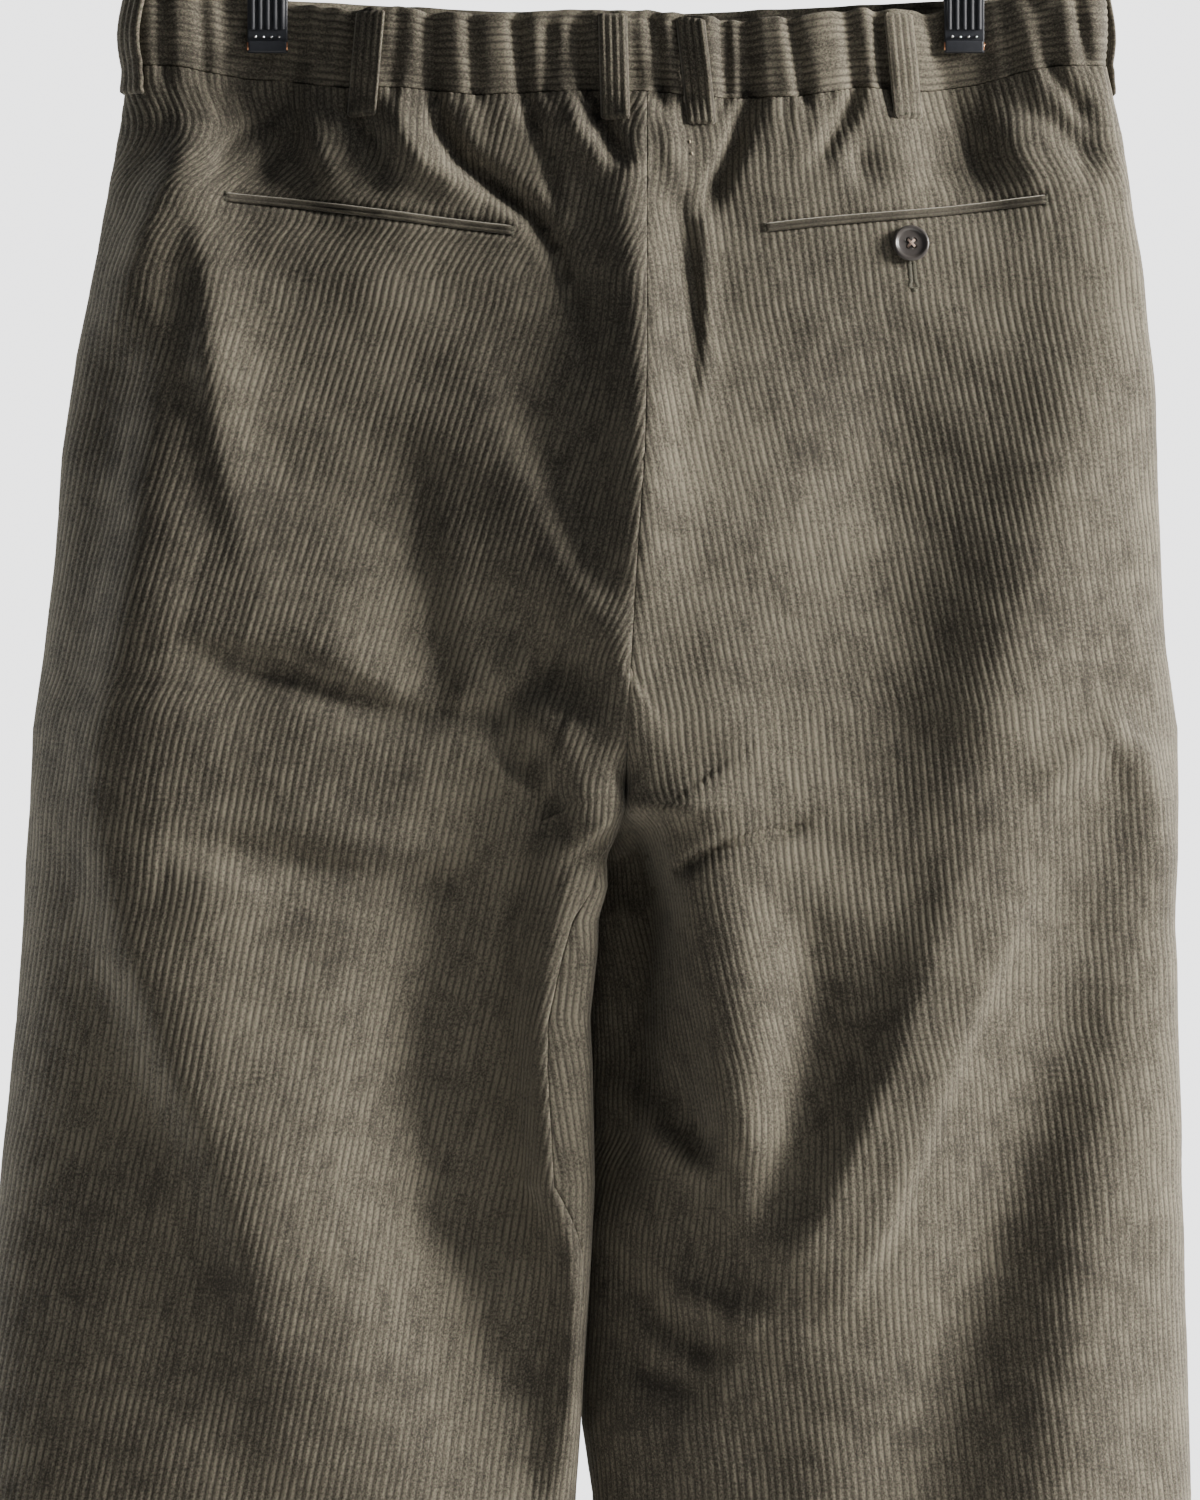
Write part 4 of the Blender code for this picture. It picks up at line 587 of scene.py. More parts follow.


# The second argument, under 1, darkens the worn pile's colour: painted shade for pile that lies another way.
def corduroy(name, nap_painted_shade=1.0):
    """Cut pile, mottled and speckled at random; painted shade darkens the grooves between the wales, so the
    crowns stand paler.
    """
    cloth = Finish(name, Roughness=0.92, Specular_IOR_Level=0.18, Sheen_Weight=0.3, Sheen_Roughness=0.45)
    cloth.shader.inputs["Sheen Tint"].default_value = (0.95, 0.9, 0.78, 1)
    uv = cloth.node("ShaderNodeUVMap", {"uv_map": "cloth"})
    across, along = (cloth.node("ShaderNodeSeparateXYZ", None, {0: uv}, part) * UV_SPAN for part in (0, 1))
    turn = across / WALE
    groove = ((turn.fract() - 0.5).size() * 2).step(0.35, 1.0)
    lane = cloth.node("ShaderNodeCombineXYZ", None, {0: turn.floor() * 3.7, 1: along * 0.05, 2: 0.0})
    streak = cloth.noise(lane, 1.0, 3.0, 0.6)
    fibre_at = cloth.node("ShaderNodeCombineXYZ", None, {0: across * 0.9, 1: along * 0.6, 2: 0.0})
    fibre = cloth.noise(fibre_at, 1.3, 4.0, 0.8)
    place = cloth.place()
    mottle = cloth.noise(place, 95.0, 3.0, 0.6)
    brushed = cloth.noise(place, 14.0, 2.0, 0.5)
    light = (fibre - 0.5) * 3.2 + (streak - 0.5) * 0.8 + (mottle - 0.5) * 1.1 + (brushed - 0.5) * 0.7 + 0.5
    # random pile tone, whose paler end the second argument darkens as painted shade
    colour = cloth.mix(light.step(0.0, 1.0), PILE_SHADED, [nap_painted_shade * part for part in PILE_WORN])
    speck = cloth.noise(fibre_at, 2.1, 1.0, 0.5)
    tint = cloth.mix(speck.step(0.35, 0.65), (1.08, 0.97, 0.98), (0.93, 1.03, 0.9))
    colour = cloth.mix(1.0, colour, tint, "MULTIPLY")
    # painted shade: the grooves are darkened towards the ground weave's colour, unevenly with the mottle
    colour = cloth.mix(groove * mottle.step(0.25, 0.65) * 0.75, colour, GROUND_WITH_GROOVE_SHADE)
    cloth.give("Base Color", colour)
    pile = fibre * 0.8 + (1 - groove) * 0.45
    bump = cloth.node("ShaderNodeBump", None, {"Strength": 0.45, "Distance": 0.00035, "Height": pile})
    cloth.give("Normal", bump)
    return cloth


CORDUROY = corduroy("olive corduroy")
# a darker copy for the band and loops, whose pile lies across: painted shade
CORDUROY_ACROSS_PAINTED_SHADE = corduroy("olive corduroy, nap across", 0.95)


def placed(made, node, finish):
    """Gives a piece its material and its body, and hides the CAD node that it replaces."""
    made.data.materials.clear()
    made.data.materials.append(finish.material)
    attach(made, "root")
    if node:
        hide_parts(node)
    return made


# drop and x of the thread that each panel's grain is laid on
GRAIN = {
    "left": [(38, -12), (130, -30), (300, -82), (640, -146), (1000, -200)],
    "right": [(38, 88), (130, 100), (300, 134), (640, 164), (1000, 176)],
}
# x and drop of each pocket mouth's ends and middle, along its upper line
POCKET_MOUTHS = {
    "left": [(-165, 81.5), (-90, 90), (-43, 96.5)],
    "right": [(62, 95.5), (118, 89.5), (182, 83)],
}
JET_HEIGHT = 4.2
# Rows down a panel: drop at the start of a run, at its stop, and the step between its rows
ROWS = {
    "back": [(38.2, 74, 1.9), (74, 116, 1.35), (116, 640, 2.4), (640, 1000, 6.2)],
    "front": [(38.2, 90, 3), (90, 560, 3.6), (560, 1000, 6.5)],
}
TUCKED_ROWS = [34.5, 37.8, SEAM_DROP]  # the first ones go in behind the band, this deep
TUCK = 2.6
FINE_POINTS = {"back": 560, "front": 420}
SWELL, SWELL_SIZE, SWELL_SEEDS = 0.9, 46, {"back": 3, "front": 4}
PUCKER, PUCKER_FADE = 0.55, 16  # small gathers under the band
SIDE_DIP, CENTRE_DIP, DIP_REACH = 1.0, 0.5, 2.2  # the cloth rolls down to a seam
SMOOTHED_ROWS = 7


def pocket_edge(side, x, drop):
    """The mouth sinks for the jet, and the cloth below it is a turned edge."""
    mouth = POCKET_MOUTHS[side]
    below = drop - column(mouth, 1, x)
    ends = ease((x - mouth[0][0]) / 3) * ease((mouth[-1][0] - x) / 3)
    sunk = -1.5 * np.exp(-(((below - JET_HEIGHT / 2) / 3.0) ** 2))
    turned = 1.1 * ease((below - 4.1) / 1.2) * np.exp(-np.maximum(below - 5, 0) / 3.2)
    return ends * (sunk + turned)


def panel_height(side, face, x, drop, place, shares, turn):
    """How far a panel stands off its rings, with its folds, swells, pucker and pocket mouth."""
    height = relief(FOLDS[face], x, place)
    height += SWELL * uneven(x, place, SWELL_SIZE, 7, SWELL_SEEDS[face])
    height *= ease(shares / SIDE_STILL) * (1 - turn ** 6 * (1 - ease((1 - shares) / INNER_STILL)))
    pucker = np.sin(x / 1.9 + 2.2 * np.sin(x / 13)) * np.exp(-(drop - SEAM_DROP) / PUCKER_FADE)
    height = pressed(height + PUCKER * pucker, x, drop)
    return height + pocket_edge(side, x, place) if face == "back" else height


def seam_dip(away, place, deep, start):
    """How deep the cloth dips this far away from a seam, a little unevenly along it."""
    along = 0.7 + 0.35 * np.sin(place / 3.1 + start + np.sin(place / 11))
    return deep * along * np.exp(-((away / DIP_REACH) ** 2))


def cloth_across(side, drops, x, y, grid):
    """Place of each fine point across the cloth, of which the folds take up more.

    How much more is smoothed down the rows, and the places start from the thread of the grain.
    """
    plain = np.hypot(np.diff(x, axis=1), np.diff(y, axis=1))
    folded = np.hypot(np.diff(grid[:, :, 0], axis=1), np.diff(grid[:, :, 1], axis=1))
    extra = np.clip(folded / np.maximum(plain, 1e-6) - 1, 0, 1.5)
    weights = np.hanning(2 * SMOOTHED_ROWS + 1)
    weights /= weights.sum()
    padded = np.pad(extra, ((SMOOTHED_ROWS, SMOOTHED_ROWS), (0, 0)), mode="edge")
    extra = sum(weight * padded[i:i + len(drops)] for i, weight in enumerate(weights))
    across = np.cumsum(plain * (1 + extra), axis=1)
    across = np.concatenate([np.zeros((len(drops), 1)), across], axis=1)
    thread = -SIDES[side] * column(GRAIN[side], 1, drops)
    start = [np.interp(t, -SIDES[side] * xs, us) for t, xs, us in zip(thread, x, across)]
    return across - np.array(start)[:, None]


def panel(side, face):
    """Rings round one leg, from its side seam to the centre or inner seam, carry the cloth."""
    drops = list(TUCKED_ROWS)
    for start, stop, step in ROWS[face]:
        drops += list(np.arange(start, stop, step))
    drops = np.array(drops + [TOTAL_LENGTH - 0.2, TOTAL_LENGTH])
    shares = np.linspace(0, 1, FINE_POINTS[face])
    rings = [ring(side, face, drop, shares) for drop in drops]
    x, y, normal, from_side, turn = (np.array(part) for part in zip(*rings))
    drop = np.repeat(drops[:, None], len(shares), axis=1)
    place = drop + seam_shift(x, drop, face)
    height = panel_height(side, face, x, drop, place, shares, turn[:, None])
    centre_dip = seam_dip(from_side[:, -1:] - from_side, place, CENTRE_DIP, 8.0)
    on_torso = drop < CROTCH_DROP
    height -= np.where(on_torso, centre_dip, 0)
    sunk = np.where(drop < SEAM_DROP, -TUCK, 0.0) - seam_dip(from_side, place, SIDE_DIP, 5.0)
    sunk -= np.where(on_torso, 0, centre_dip)
    grid = np.stack([x + normal[:, :, 0] * sunk, y + normal[:, :, 1] * sunk, BAND_TOP_Z - place], axis=2)
    grid[:, :, :2] += fold_aim(normal, face, shares) * height[:, :, None]
    across = cloth_across(side, drops, x, y, grid)
    like = np.array([0.0, FACES[face], 0.0])
    made = corded(f"panel_{face}_{side}", grid, across, drops, like, back_rows=100)
    placed(made, f"{face}_{side}", CORDUROY)
    return made


PANELS = {(face, side): panel(side, face) for face in FACES for side in SIDES}

# ======================================================================================
# The waistband: corduroy cut across, so its wales lie level, folded over wide elastic at the
# back, where it gathers. The fronts are flat and lap at the centre, the left one over.
# ======================================================================================
FLY_X = 13.0
TAB_LAP = 34.0
TAB_LIFT = 2.6
SEAM_GAP = 0.3
BAND_FINE = 72
GATHERED = 1.5  # the elastic makes the folds this much deeper
RIPPLE = 0.9
BAND_ROLL, BAND_SUNK = 1.1, 0.5  # the band is round from its top edge to the seam
BACK_STEPS, FRONT_STEPS, TAB_STEPS = 130, 90, 20


def band_grid(face, runs, lift=None):
    """Rows along the band, from side to side, of fine points from its top edge to the seam."""
    down = np.linspace(0, 1, BAND_FINE)
    rows = []
    for side, shares in runs:
        x, y, normal, _, _ = ring(side, face, SEAM_DROP, shares)
        x, y = x[:, None] + np.zeros(BAND_FINE), y[:, None] + np.zeros(BAND_FINE)
        place = SEAM_DROP + seam_shift(x, SEAM_DROP, face) + BAND_HEIGHT * (down - 1) - SEAM_GAP
        height = relief(FOLDS[face], x, place)
        if face == "back":
            height *= GATHERED
            ripple = np.sin(x / 2.1 + 2.0 * np.sin(x / 17) + 0.4 * np.sin(place / 9))
            height += RIPPLE * ripple * (0.6 + 0.4 * np.sin(x / 23)) * ease(shares / 0.1)[:, None]
            place = place - (1 - down) ** 2 * 0.3 * np.minimum(height, 0)
        height = pressed(height * ease(shares / SIDE_STILL)[:, None], x, place)
        height += BAND_ROLL * np.sin(math.pi * down) - BAND_SUNK
        aim = fold_aim(normal, face, shares)
        grid = np.stack(
            [x + aim[:, :1] * height, y + aim[:, 1:] * height, BAND_TOP_Z - place], axis=2
        )
        if lift is not None:
            grid[:, :, 1] += FACES[face] * lift(x)
        rows.append(grid)
    return np.concatenate(rows)


def make_band(name, node, face, runs, lift=None):
    grid = band_grid(face, runs, lift)
    middle = grid[:, BAND_FINE // 2]
    along = np.concatenate([[0], np.cumsum(np.linalg.norm(np.diff(middle, axis=0), axis=1))])
    across = np.repeat(np.linspace(0.4, BAND_HEIGHT + 0.4, BAND_FINE)[None], len(grid), axis=0)
    made = corded(name, grid, across, along, np.array([0.0, FACES[face], 0.0]), back_rows=90)
    placed(made, node, CORDUROY_ACROSS_PAINTED_SHADE)
    return made


def share_of(side, face, drop, x):
    """How far round its ring a point at x is."""
    shares = np.linspace(0, 1, 400)
    xs = ring(side, face, drop, shares)[0]
    order = np.argsort(xs)
    return float(np.interp(x, xs[order], shares[order]))


def tab_lift(x):
    """The tab lies on the right front."""
    return TAB_LIFT * ease((x - FLY_X + 14) / 10)


steps = np.linspace(0, 1, BACK_STEPS)
whole_back = [("left", steps), ("right", steps[::-1][1:])]
BAND_BACK = make_band("band_back", "waistband_back", "back", whole_back)
steps = np.linspace(0, 1, FRONT_STEPS)
tab_steps = np.linspace(1, share_of("right", "front", SEAM_DROP, FLY_X + TAB_LAP), TAB_STEPS)[1:]
front_and_tab = [("left", steps), ("right", tab_steps)]
BAND_FRONTS = [
    make_band("band_front_right", "waistband_front_right", "front", [("right", steps)]),
    make_band("band_front_left", "waistband_front_left", "front", front_and_tab, tab_lift),
]

# ======================================================================================
# Eight belt loops, each a strip of the corduroy with its edges turned under, tacked at the
# band's top edge and just below the waist seam, so that its middle stands off the band.
# ======================================================================================
LOOP_WIDTH = 12.6
LOOP_THICK = 1.5
LOOP_TURN = 0.6  # the cloth that its rounded edges take up
LOOP_FOOT = 12.0
LOOP_HEAD = 1.2  # below the band's top edge
LOOP_SLACK = 3.0
LOOP_GROOVE = 0.7
LOOP_STEPS, LOOP_FINE = 44, 26
SIDE_LOOP_OFF = 3.0  # its middle line lies beside the side seam
LAY_GAP = 0.35
# x of the middle, how far the foot stands to the right of the head
BACK_LOOPS = [(-105.5, -4.0), (-0.8, 1.2), (33.8, 5.0), (121.5, 4.5)]
FRONT_LOOPS = [(-98.0, 0.0), (98.0, 0.0)]
SIDE_LOOPS = [(-199.5, (-0.8, -0.6, 0), "back"), (201.5, (0.8, 0.6, 0), "front")]


def surface_of(made):
    """The finished cloth's outer faces, to lay a piece on."""
    view = bpy.context.evaluated_depsgraph_get()
    return [BVHTree.FromObject(piece, view) for piece in made]


def height_over(trees, point, aim):
    """How far out along aim the cloth lies over a point of the middle plane, in millimetres."""
    out = Vector(aim)
    start = (Vector(point) + out * 300) * MM
    found = [tree.ray_cast(start, -out)[0] for tree in trees]
    heights = [hit.dot(out) / MM - Vector(point).dot(out) for hit in found if hit]
    return max(heights) if heights else None


def laid(trees, centres, across, aim, width, thick, lifts, fine, edge):
    """Fine points of a strip along centres, clear of the cloth, its two edges rounded down."""
    across, aim = np.array(across, float), np.array(aim, float)
    plane = []
    for centre in centres:
        places = np.linspace(-0.5, 0.5, 7)
        seen = [(t, height_over(trees, centre + across * width * t, aim)) for t in places]
        seen = [(t, h) for t, h in seen if h is not None]
        slope, level = np.polyfit([t for t, _ in seen], [h for _, h in seen], 1)
        plane.append((slope, level + max(h - slope * t - level for t, h in seen) * 0.8))
    plane = np.array(plane)
    for _ in range(2):
        plane[1:-1] = (plane[:-2] + 2 * plane[1:-1] + plane[2:]) / 4
    side = np.linspace(-0.5, 0.5, fine)
    round_off = edge * (1 - np.sqrt(np.clip(1 - np.abs(2 * side) ** 5, 0, 1)))
    height = plane[:, :1] * side + plane[:, 1:] + LAY_GAP + thick + np.array(lifts)[:, None] - round_off
    base = np.array(centres)[:, None, :] + across * width * side[:, None]
    return base + aim * height[:, :, None]


def seam_at(x, face):
    """The waist seam's drop at x."""
    return SEAM_DROP + float(seam_shift(np.array([float(x)]), SEAM_DROP, face)[0])


BACK_CLOTH = surface_of([BAND_BACK, PANELS["back", "left"], PANELS["back", "right"]])
FRONT_CLOTH = surface_of([*BAND_FRONTS, PANELS["front", "left"], PANELS["front", "right"]])
loop_places = [(x, lean, (0, -1, 0), BACK_CLOTH, "back", 0.0) for x, lean in BACK_LOOPS]
loop_places += [(x, lean, (0, 1, 0), FRONT_CLOTH, "front", 0.0) for x, lean in FRONT_LOOPS]
loop_places += [
    (x, 0.0, aim, BACK_CLOTH + FRONT_CLOTH, face, SIDE_LOOP_OFF * FACES[face]) for x, aim, face in SIDE_LOOPS
]
LOOPS = []
steps = np.linspace(0, 1, LOOP_STEPS)
stand_off = LOOP_SLACK * np.sin(math.pi * steps) ** 1.5 + 0.5 * np.exp(-(((steps - 0.93) / 0.05) ** 2))
half = LOOP_WIDTH / 2 + LOOP_TURN
for number, (x, lean, aim, trees, face, y) in enumerate(loop_places, 1):
    drops = seam_at(x, face) - BAND_HEIGHT + LOOP_HEAD + steps * (BAND_HEIGHT + LOOP_FOOT - LOOP_HEAD)
    centres = [np.array([x + lean * (s - 0.5), y, BAND_TOP_Z - d]) for s, d in zip(steps, drops)]
    across = (-aim[1], aim[0], 0)
    grid = laid(trees, centres, across, aim, LOOP_WIDTH, LOOP_THICK, stand_off, LOOP_FINE, 1.9)
    u = np.repeat(np.linspace(-half, half, LOOP_FINE)[None] + 1.6 * (number % 3), LOOP_STEPS, axis=0)
    loop = corded(f"loop_{number}", grid, u, drops, np.array(aim), 12, LOOP_THICK, LOOP_GROOVE)
    LOOPS.append(placed(loop, f"belt_loop_{number}", CORDUROY_ACROSS_PAINTED_SHADE))

# ======================================================================================
# The two back pocket mouths: a narrow jet of corduroy, cut so that its wales run along it as
# two slim cords, sewn into each slit and tacked square at its ends.
# ======================================================================================
JET_THICK = 1.2
JET_GROOVE = 0.8
JET_FINE = 15
JET_STEP = 1.2  # along the mouth
# a much darker copy for the jets: painted shade
CORDUROY_EDGE_PAINTED_SHADE = corduroy("olive corduroy, painted shade on the jets", 0.55)
JETS = []
for side, mouth in POCKET_MOUTHS.items():
    trees = surface_of([PANELS["back", side]])
    count = int((mouth[-1][0] - mouth[0][0]) / JET_STEP)
    xs = np.linspace(mouth[0][0], mouth[-1][0], count)
    drops = column(mouth, 1, xs) + JET_HEIGHT / 2 + 0.35 * np.sin(xs / 17.0)
    centres = [np.array([x, 0.0, BAND_TOP_Z - drop]) for x, drop in zip(xs, drops)]
    lifts = 0.1 - 0.9 * (1 - ease((xs - xs[0]) / 3) * ease((xs[-1] - xs) / 3))
    grid = laid(trees, centres, (0, 0, -1), (0, -1, 0), JET_HEIGHT, JET_THICK, lifts, JET_FINE, 0.8)
    u = np.repeat(np.linspace(-WALE, WALE, JET_FINE)[None], count, axis=0)
    jet = corded(f"jet_{side}", grid, u, xs, np.array([0.0, -1, 0]), 40, JET_THICK, JET_GROOVE)
    JETS.append(placed(jet, f"pocket_jet_{side}", CORDUROY_EDGE_PAINTED_SHADE))

# ======================================================================================
# The fly: the left front's edge laps over the right one, a plain strip of corduroy sewn down
# from under the band to the foot of the opening. It hangs closed.
# ======================================================================================
FLY_WIDTH = 40.0
FLY_THICK = 1.2
FLY_OVER = 5.0
FLY_LENGTH = 165.0
FLY_STEPS, FLY_FINE = 64, 50
drops = np.linspace(SEAM_DROP + 2.5, SEAM_DROP + FLY_LENGTH, FLY_STEPS)
centres = [np.array([FLY_X + FLY_OVER - FLY_WIDTH / 2, 0.0, BAND_TOP_Z - drop]) for drop in drops]
trees = surface_of([PANELS["front", "left"], PANELS["front", "right"]])
level = np.zeros(FLY_STEPS)
grid = laid(trees, centres, (-1, 0, 0), (0, 1, 0), FLY_WIDTH, FLY_THICK, level, FLY_FINE, 0.9)
u = np.repeat(np.linspace(-FLY_WIDTH / 2, FLY_WIDTH / 2, FLY_FINE)[None], FLY_STEPS, axis=0)
fly = corded("fly", grid, u, drops, np.array([0.0, 1, 0]), 20, FLY_THICK)
placed(fly, "fly_lap", CORDUROY)

# ======================================================================================
# Two horn buttons, each a turned dish with a raised rim and four holes: one under the right
# back pocket, one on the band's front tab. Thread crosses through the holes to hold each.
# ======================================================================================
BUTTON_DIAMETER = 15.5
BUTTON_FOOT = 6.5  # radius of the cloth that it lies on
BUTTON_GAP = 0.2
# radius and height
BUTTON_PROFILE = [
    (0, 0), (5.0, 0), (6.6, 0.4), (7.45, 1.1), (BUTTON_DIAMETER / 2, 1.75), (7.62, 2.35), (7.25, 2.68),
    (6.75, 2.74), (6.3, 2.6), (5.95, 2.25), (5.6, 1.95), (5.0, 1.78), (3.0, 1.7), (0, 1.7),
]
POCKET_BUTTON = (124.0, 104.0)
HOLE_FROM_MIDDLE = 2.0
HOLE_RADIUS = 0.95
corners = [math.pi / 4 + k * math.pi / 2 for k in range(4)]
HOLES = [(HOLE_FROM_MIDDLE * math.cos(a), HOLE_FROM_MIDDLE * math.sin(a)) for a in corners]
STRAND = 0.2
STRAND_LIFT = 1.95
STRAND_LENGTH = 2.6  # down through a hole
STRAND_SHIFTS = (-0.32, 0.0, 0.32)
horn = Finish("grey horn", Roughness=0.3, Coat_Weight=0.25, Coat_Roughness=0.2)
cloud = horn.noise(horn.place(), 260.0, 4.0, 0.6)
horn.give("Base Color", horn.mix(cloud, (0.035, 0.030, 0.028), (0.095, 0.085, 0.080)))
THREAD_PINK = Finish("faded thread", (0.42, 0.31, 0.25), Roughness=0.8, Sheen_Weight=0.3)


def turned(name, profile, steps=56):
    """A solid of revolution about Z from (radius, height) pairs that start and end on the axis."""
    around = [2 * math.pi * i / steps for i in range(steps)]
    points = [(0, 0, profile[0][1]), (0, 0, profile[-1][1])]
    for radius, height in profile[1:-1]:
        points += [(radius * math.cos(a), radius * math.sin(a), height) for a in around]
    faces = []
    last = 2 + (len(profile) - 3) * steps
    for i in range(steps):
        j = (i + 1) % steps
        faces.append((0, 2 + j, 2 + i))
        for low in range(2, last, steps):
            faces.append((low + i, low + j, low + steps + j, low + steps + i))
        faces.append((1, last + i, last + j))
    mesh = bpy.data.meshes.new(name)
    mesh.from_pydata([Vector(p) * MM for p in points], [], faces)
    mesh.shade_smooth()
    return linked(name, mesh)


def settled(made):
    """The object's own modifiers worked into its mesh."""
    bpy.context.view_layer.update()
    view = bpy.context.evaluated_depsgraph_get()
    mesh = bpy.data.meshes.new_from_object(made.evaluated_get(view))
    made.modifiers.clear()
    made.data = mesh
    return made


def mesh_from(work, name):
    mesh = bpy.data.meshes.new(name)
    work.to_mesh(mesh)
    work.free()
    mesh.shade_smooth()
    return mesh


def bar_of(start, end, radius, sides=8):
    """A short round bar between two points."""
    along = Vector(end) - Vector(start)
    turn = along.to_track_quat("Z", "Y").to_matrix().to_4x4()
    place = Matrix.Translation((Vector(start) + Vector(end)) / 2 * MM) @ turn
    work = bmesh.new()
    bmesh.ops.create_cone(
        work, cap_ends=True, segments=sides, radius1=radius * MM, radius2=radius * MM,
        depth=along.length * MM, matrix=place,
    )
    return mesh_from(work, "bar")


def joined(name, meshes):
    work = bmesh.new()
    for mesh in meshes:
        work.from_mesh(mesh)
    return linked(name, mesh_from(work, name))


def seat_on(trees, x, z, way):
    """Where a button lies flat on the cloth at x and z, clear of every crest under it."""
    spots = [(0, 0)] + [
        (BUTTON_FOOT * math.cos(a), BUTTON_FOOT * math.sin(a)) for a in np.linspace(0, 2 * math.pi, 13)
    ]
    seen = [(dx, dz, height_over(trees, (x + dx, 0, z + dz), (0, way, 0))) for dx, dz in spots]
    seen = [row for row in seen if row[2] is not None]
    base = np.array([[dx, dz, 1] for dx, dz, _ in seen])
    heights = np.array([height for _, _, height in seen])
    lean = np.linalg.lstsq(base, heights, rcond=None)[0]
    rise = max(heights - base @ lean)
    out = Vector((-lean[0], way, -lean[1])).normalized()
    seat = Matrix.Translation(Vector((x, way * (lean[2] + rise + BUTTON_GAP), z)) * MM)
    return seat @ out.to_track_quat("Z", "Y").to_matrix().to_4x4()


def button(name, node, trees, x, z, way):
    dish = turned(name, BUTTON_PROFILE)
    cutters = []
    for spot in HOLES:
        cutter = joined("hole", [bar_of((*spot, -2), (*spot, 5), HOLE_RADIUS, 20)])
        drill = dish.modifiers.new("hole", "BOOLEAN")
        drill.object, drill.operation = cutter, "DIFFERENCE"
        cutters.append(cutter)
    settled(dish)
    for cutter in cutters:
        bpy.data.objects.remove(cutter, do_unlink=True)
    seat = seat_on(trees, x, z, way)
    dish.data.transform(seat)
    placed(dish, node, horn)
    strands, down = [], Vector((0, 0, STRAND_LENGTH))
    for lift, a, b in ((STRAND_LIFT, *HOLES[::2]), (STRAND_LIFT + STRAND, *HOLES[1::2])):
        beside = Vector((b[1] - a[1], a[0] - b[0], 0)).normalized()
        for shift in STRAND_SHIFTS:
            start, end = (Vector((*hole, lift)) + beside * shift for hole in (a, b))
            strands.append(bar_of(start, end, STRAND))
            strands += [bar_of(top, top - down, STRAND) for top in (start, end)]
    thread = joined(f"{name}_thread", strands)
    thread.data.transform(seat)
    placed(thread, None, THREAD_PINK)


BACK_RIGHT = surface_of([PANELS["back", "right"]])
button("back_button", "button_pocket", BACK_RIGHT, POCKET_BUTTON[0], BAND_TOP_Z - POCKET_BUTTON[1], -1)
tab_height = BAND_TOP_Z - SEAM_DROP + BAND_HEIGHT / 2
button("tab_button", "button_waist", surface_of([BAND_FRONTS[1]]), FLY_X + TAB_LAP - 14, tab_height, 1)

# ======================================================================================
# The stitches that show: the keyhole buttonhole below the pocket button, the tacks at the
# pocket mouths' ends and at the loops' feet, and three bits of pale thread, two cut ends
# beside the seam and a loose one on the band.
# ======================================================================================
THREAD_OLIVE = Finish("olive thread", (0.105, 0.098, 0.066), Roughness=0.75, Sheen_Weight=0.3)
THREAD_PALE = Finish("pale thread", (0.62, 0.52, 0.36), Roughness=0.7, Sheen_Weight=0.3)
UNEVENNESS = 0.12
HOLE_X, HOLE_TOP, HOLE_FOOT = 124.4, 111.6, 122.6  # the buttonhole, which leans by 1 mm
HOLE_LEAN = 1.0


class Pattern(Nodes):
    """A Geometry Nodes tree with named inputs, which lays copies of one shape on points."""

    def __init__(self, name, inputs):
        self.tree = bpy.data.node_groups.new(name, "GeometryNodeTree")
        self.socket("Geometry", "INPUT", "NodeSocketGeometry")
        for label, value in inputs.items():
            kind = "NodeSocketInt" if isinstance(value, int) else "NodeSocketFloat"
            self.socket(label, "INPUT", kind).default_value = value
        self.socket("Geometry", "OUTPUT", "NodeSocketGeometry")
        self.inputs = self.tree.nodes.new("NodeGroupInput").outputs

    def socket(self, name, way, kind):
        return self.tree.interface.new_socket(name, in_out=way, socket_type=kind)

    def given(self, name):
        return Value(self, self.inputs[name])

    def lay(self, links, finish):
        """Ends the tree: the copies made real, in one material."""
        laid_out = self.node("GeometryNodeInstanceOnPoints", None, links)
        real = self.node("GeometryNodeRealizeInstances", None, {0: laid_out})
        painted = self.node("GeometryNodeSetMaterial", None, {0: real, "Material": finish.material})
        self.tree.links.new(painted.socket, self.tree.nodes.new("NodeGroupOutput").inputs[0])

    def grow(self, made, sizes):
        """Works the pattern into an object, at these sizes."""
        modifier = made.modifiers.new(self.tree.name, "NODES")
        modifier.node_group = self.tree
        for item in self.tree.interface.items_tree:
            if item.in_out == "INPUT" and item.name in sizes:
                modifier[item.identifier] = sizes[item.name]
        return settled(made)


def stitches_in(finish):
    """One stitch on each point of a mesh, laid along that point's own heading."""
    sizes = {"Thread radius": 0.0002, "Stitch length": 0.002, "Unevenness": 0.1, "Seed": 4}
    sewing = Pattern("stitches", sizes)
    spots = sewing.node("GeometryNodeMeshToPoints", None, {"Mesh": sewing.given("Geometry")})
    vector, named = {"data_type": "FLOAT_VECTOR"}, {"Name": "heading"}
    heading = sewing.node("GeometryNodeInputNamedAttribute", vector, named, "Attribute")
    turn = sewing.node("FunctionNodeAlignRotationToVector", {"axis": "Z"}, {"Vector": heading})
    ball = {"Segments": 8, "Rings": 6, "Radius": 1.0}
    strand = sewing.node("GeometryNodeMeshUVSphere", None, ball, "Mesh")
    uneven_by = sewing.given("Unevenness")
    share = {2: 1.0 - uneven_by, 3: 1.0 + uneven_by, "Seed": sewing.given("Seed")}
    vary = sewing.node("FunctionNodeRandomValue", {"data_type": "FLOAT"}, share, 1)
    long = sewing.given("Stitch length") * 0.5 * vary
    thread = sewing.given("Thread radius")
    size = sewing.node("ShaderNodeCombineXYZ", None, {0: thread, 1: thread, 2: long})
    sewing.lay({"Points": spots, "Instance": strand, "Rotation": turn, "Scale": size}, finish)
    return sewing


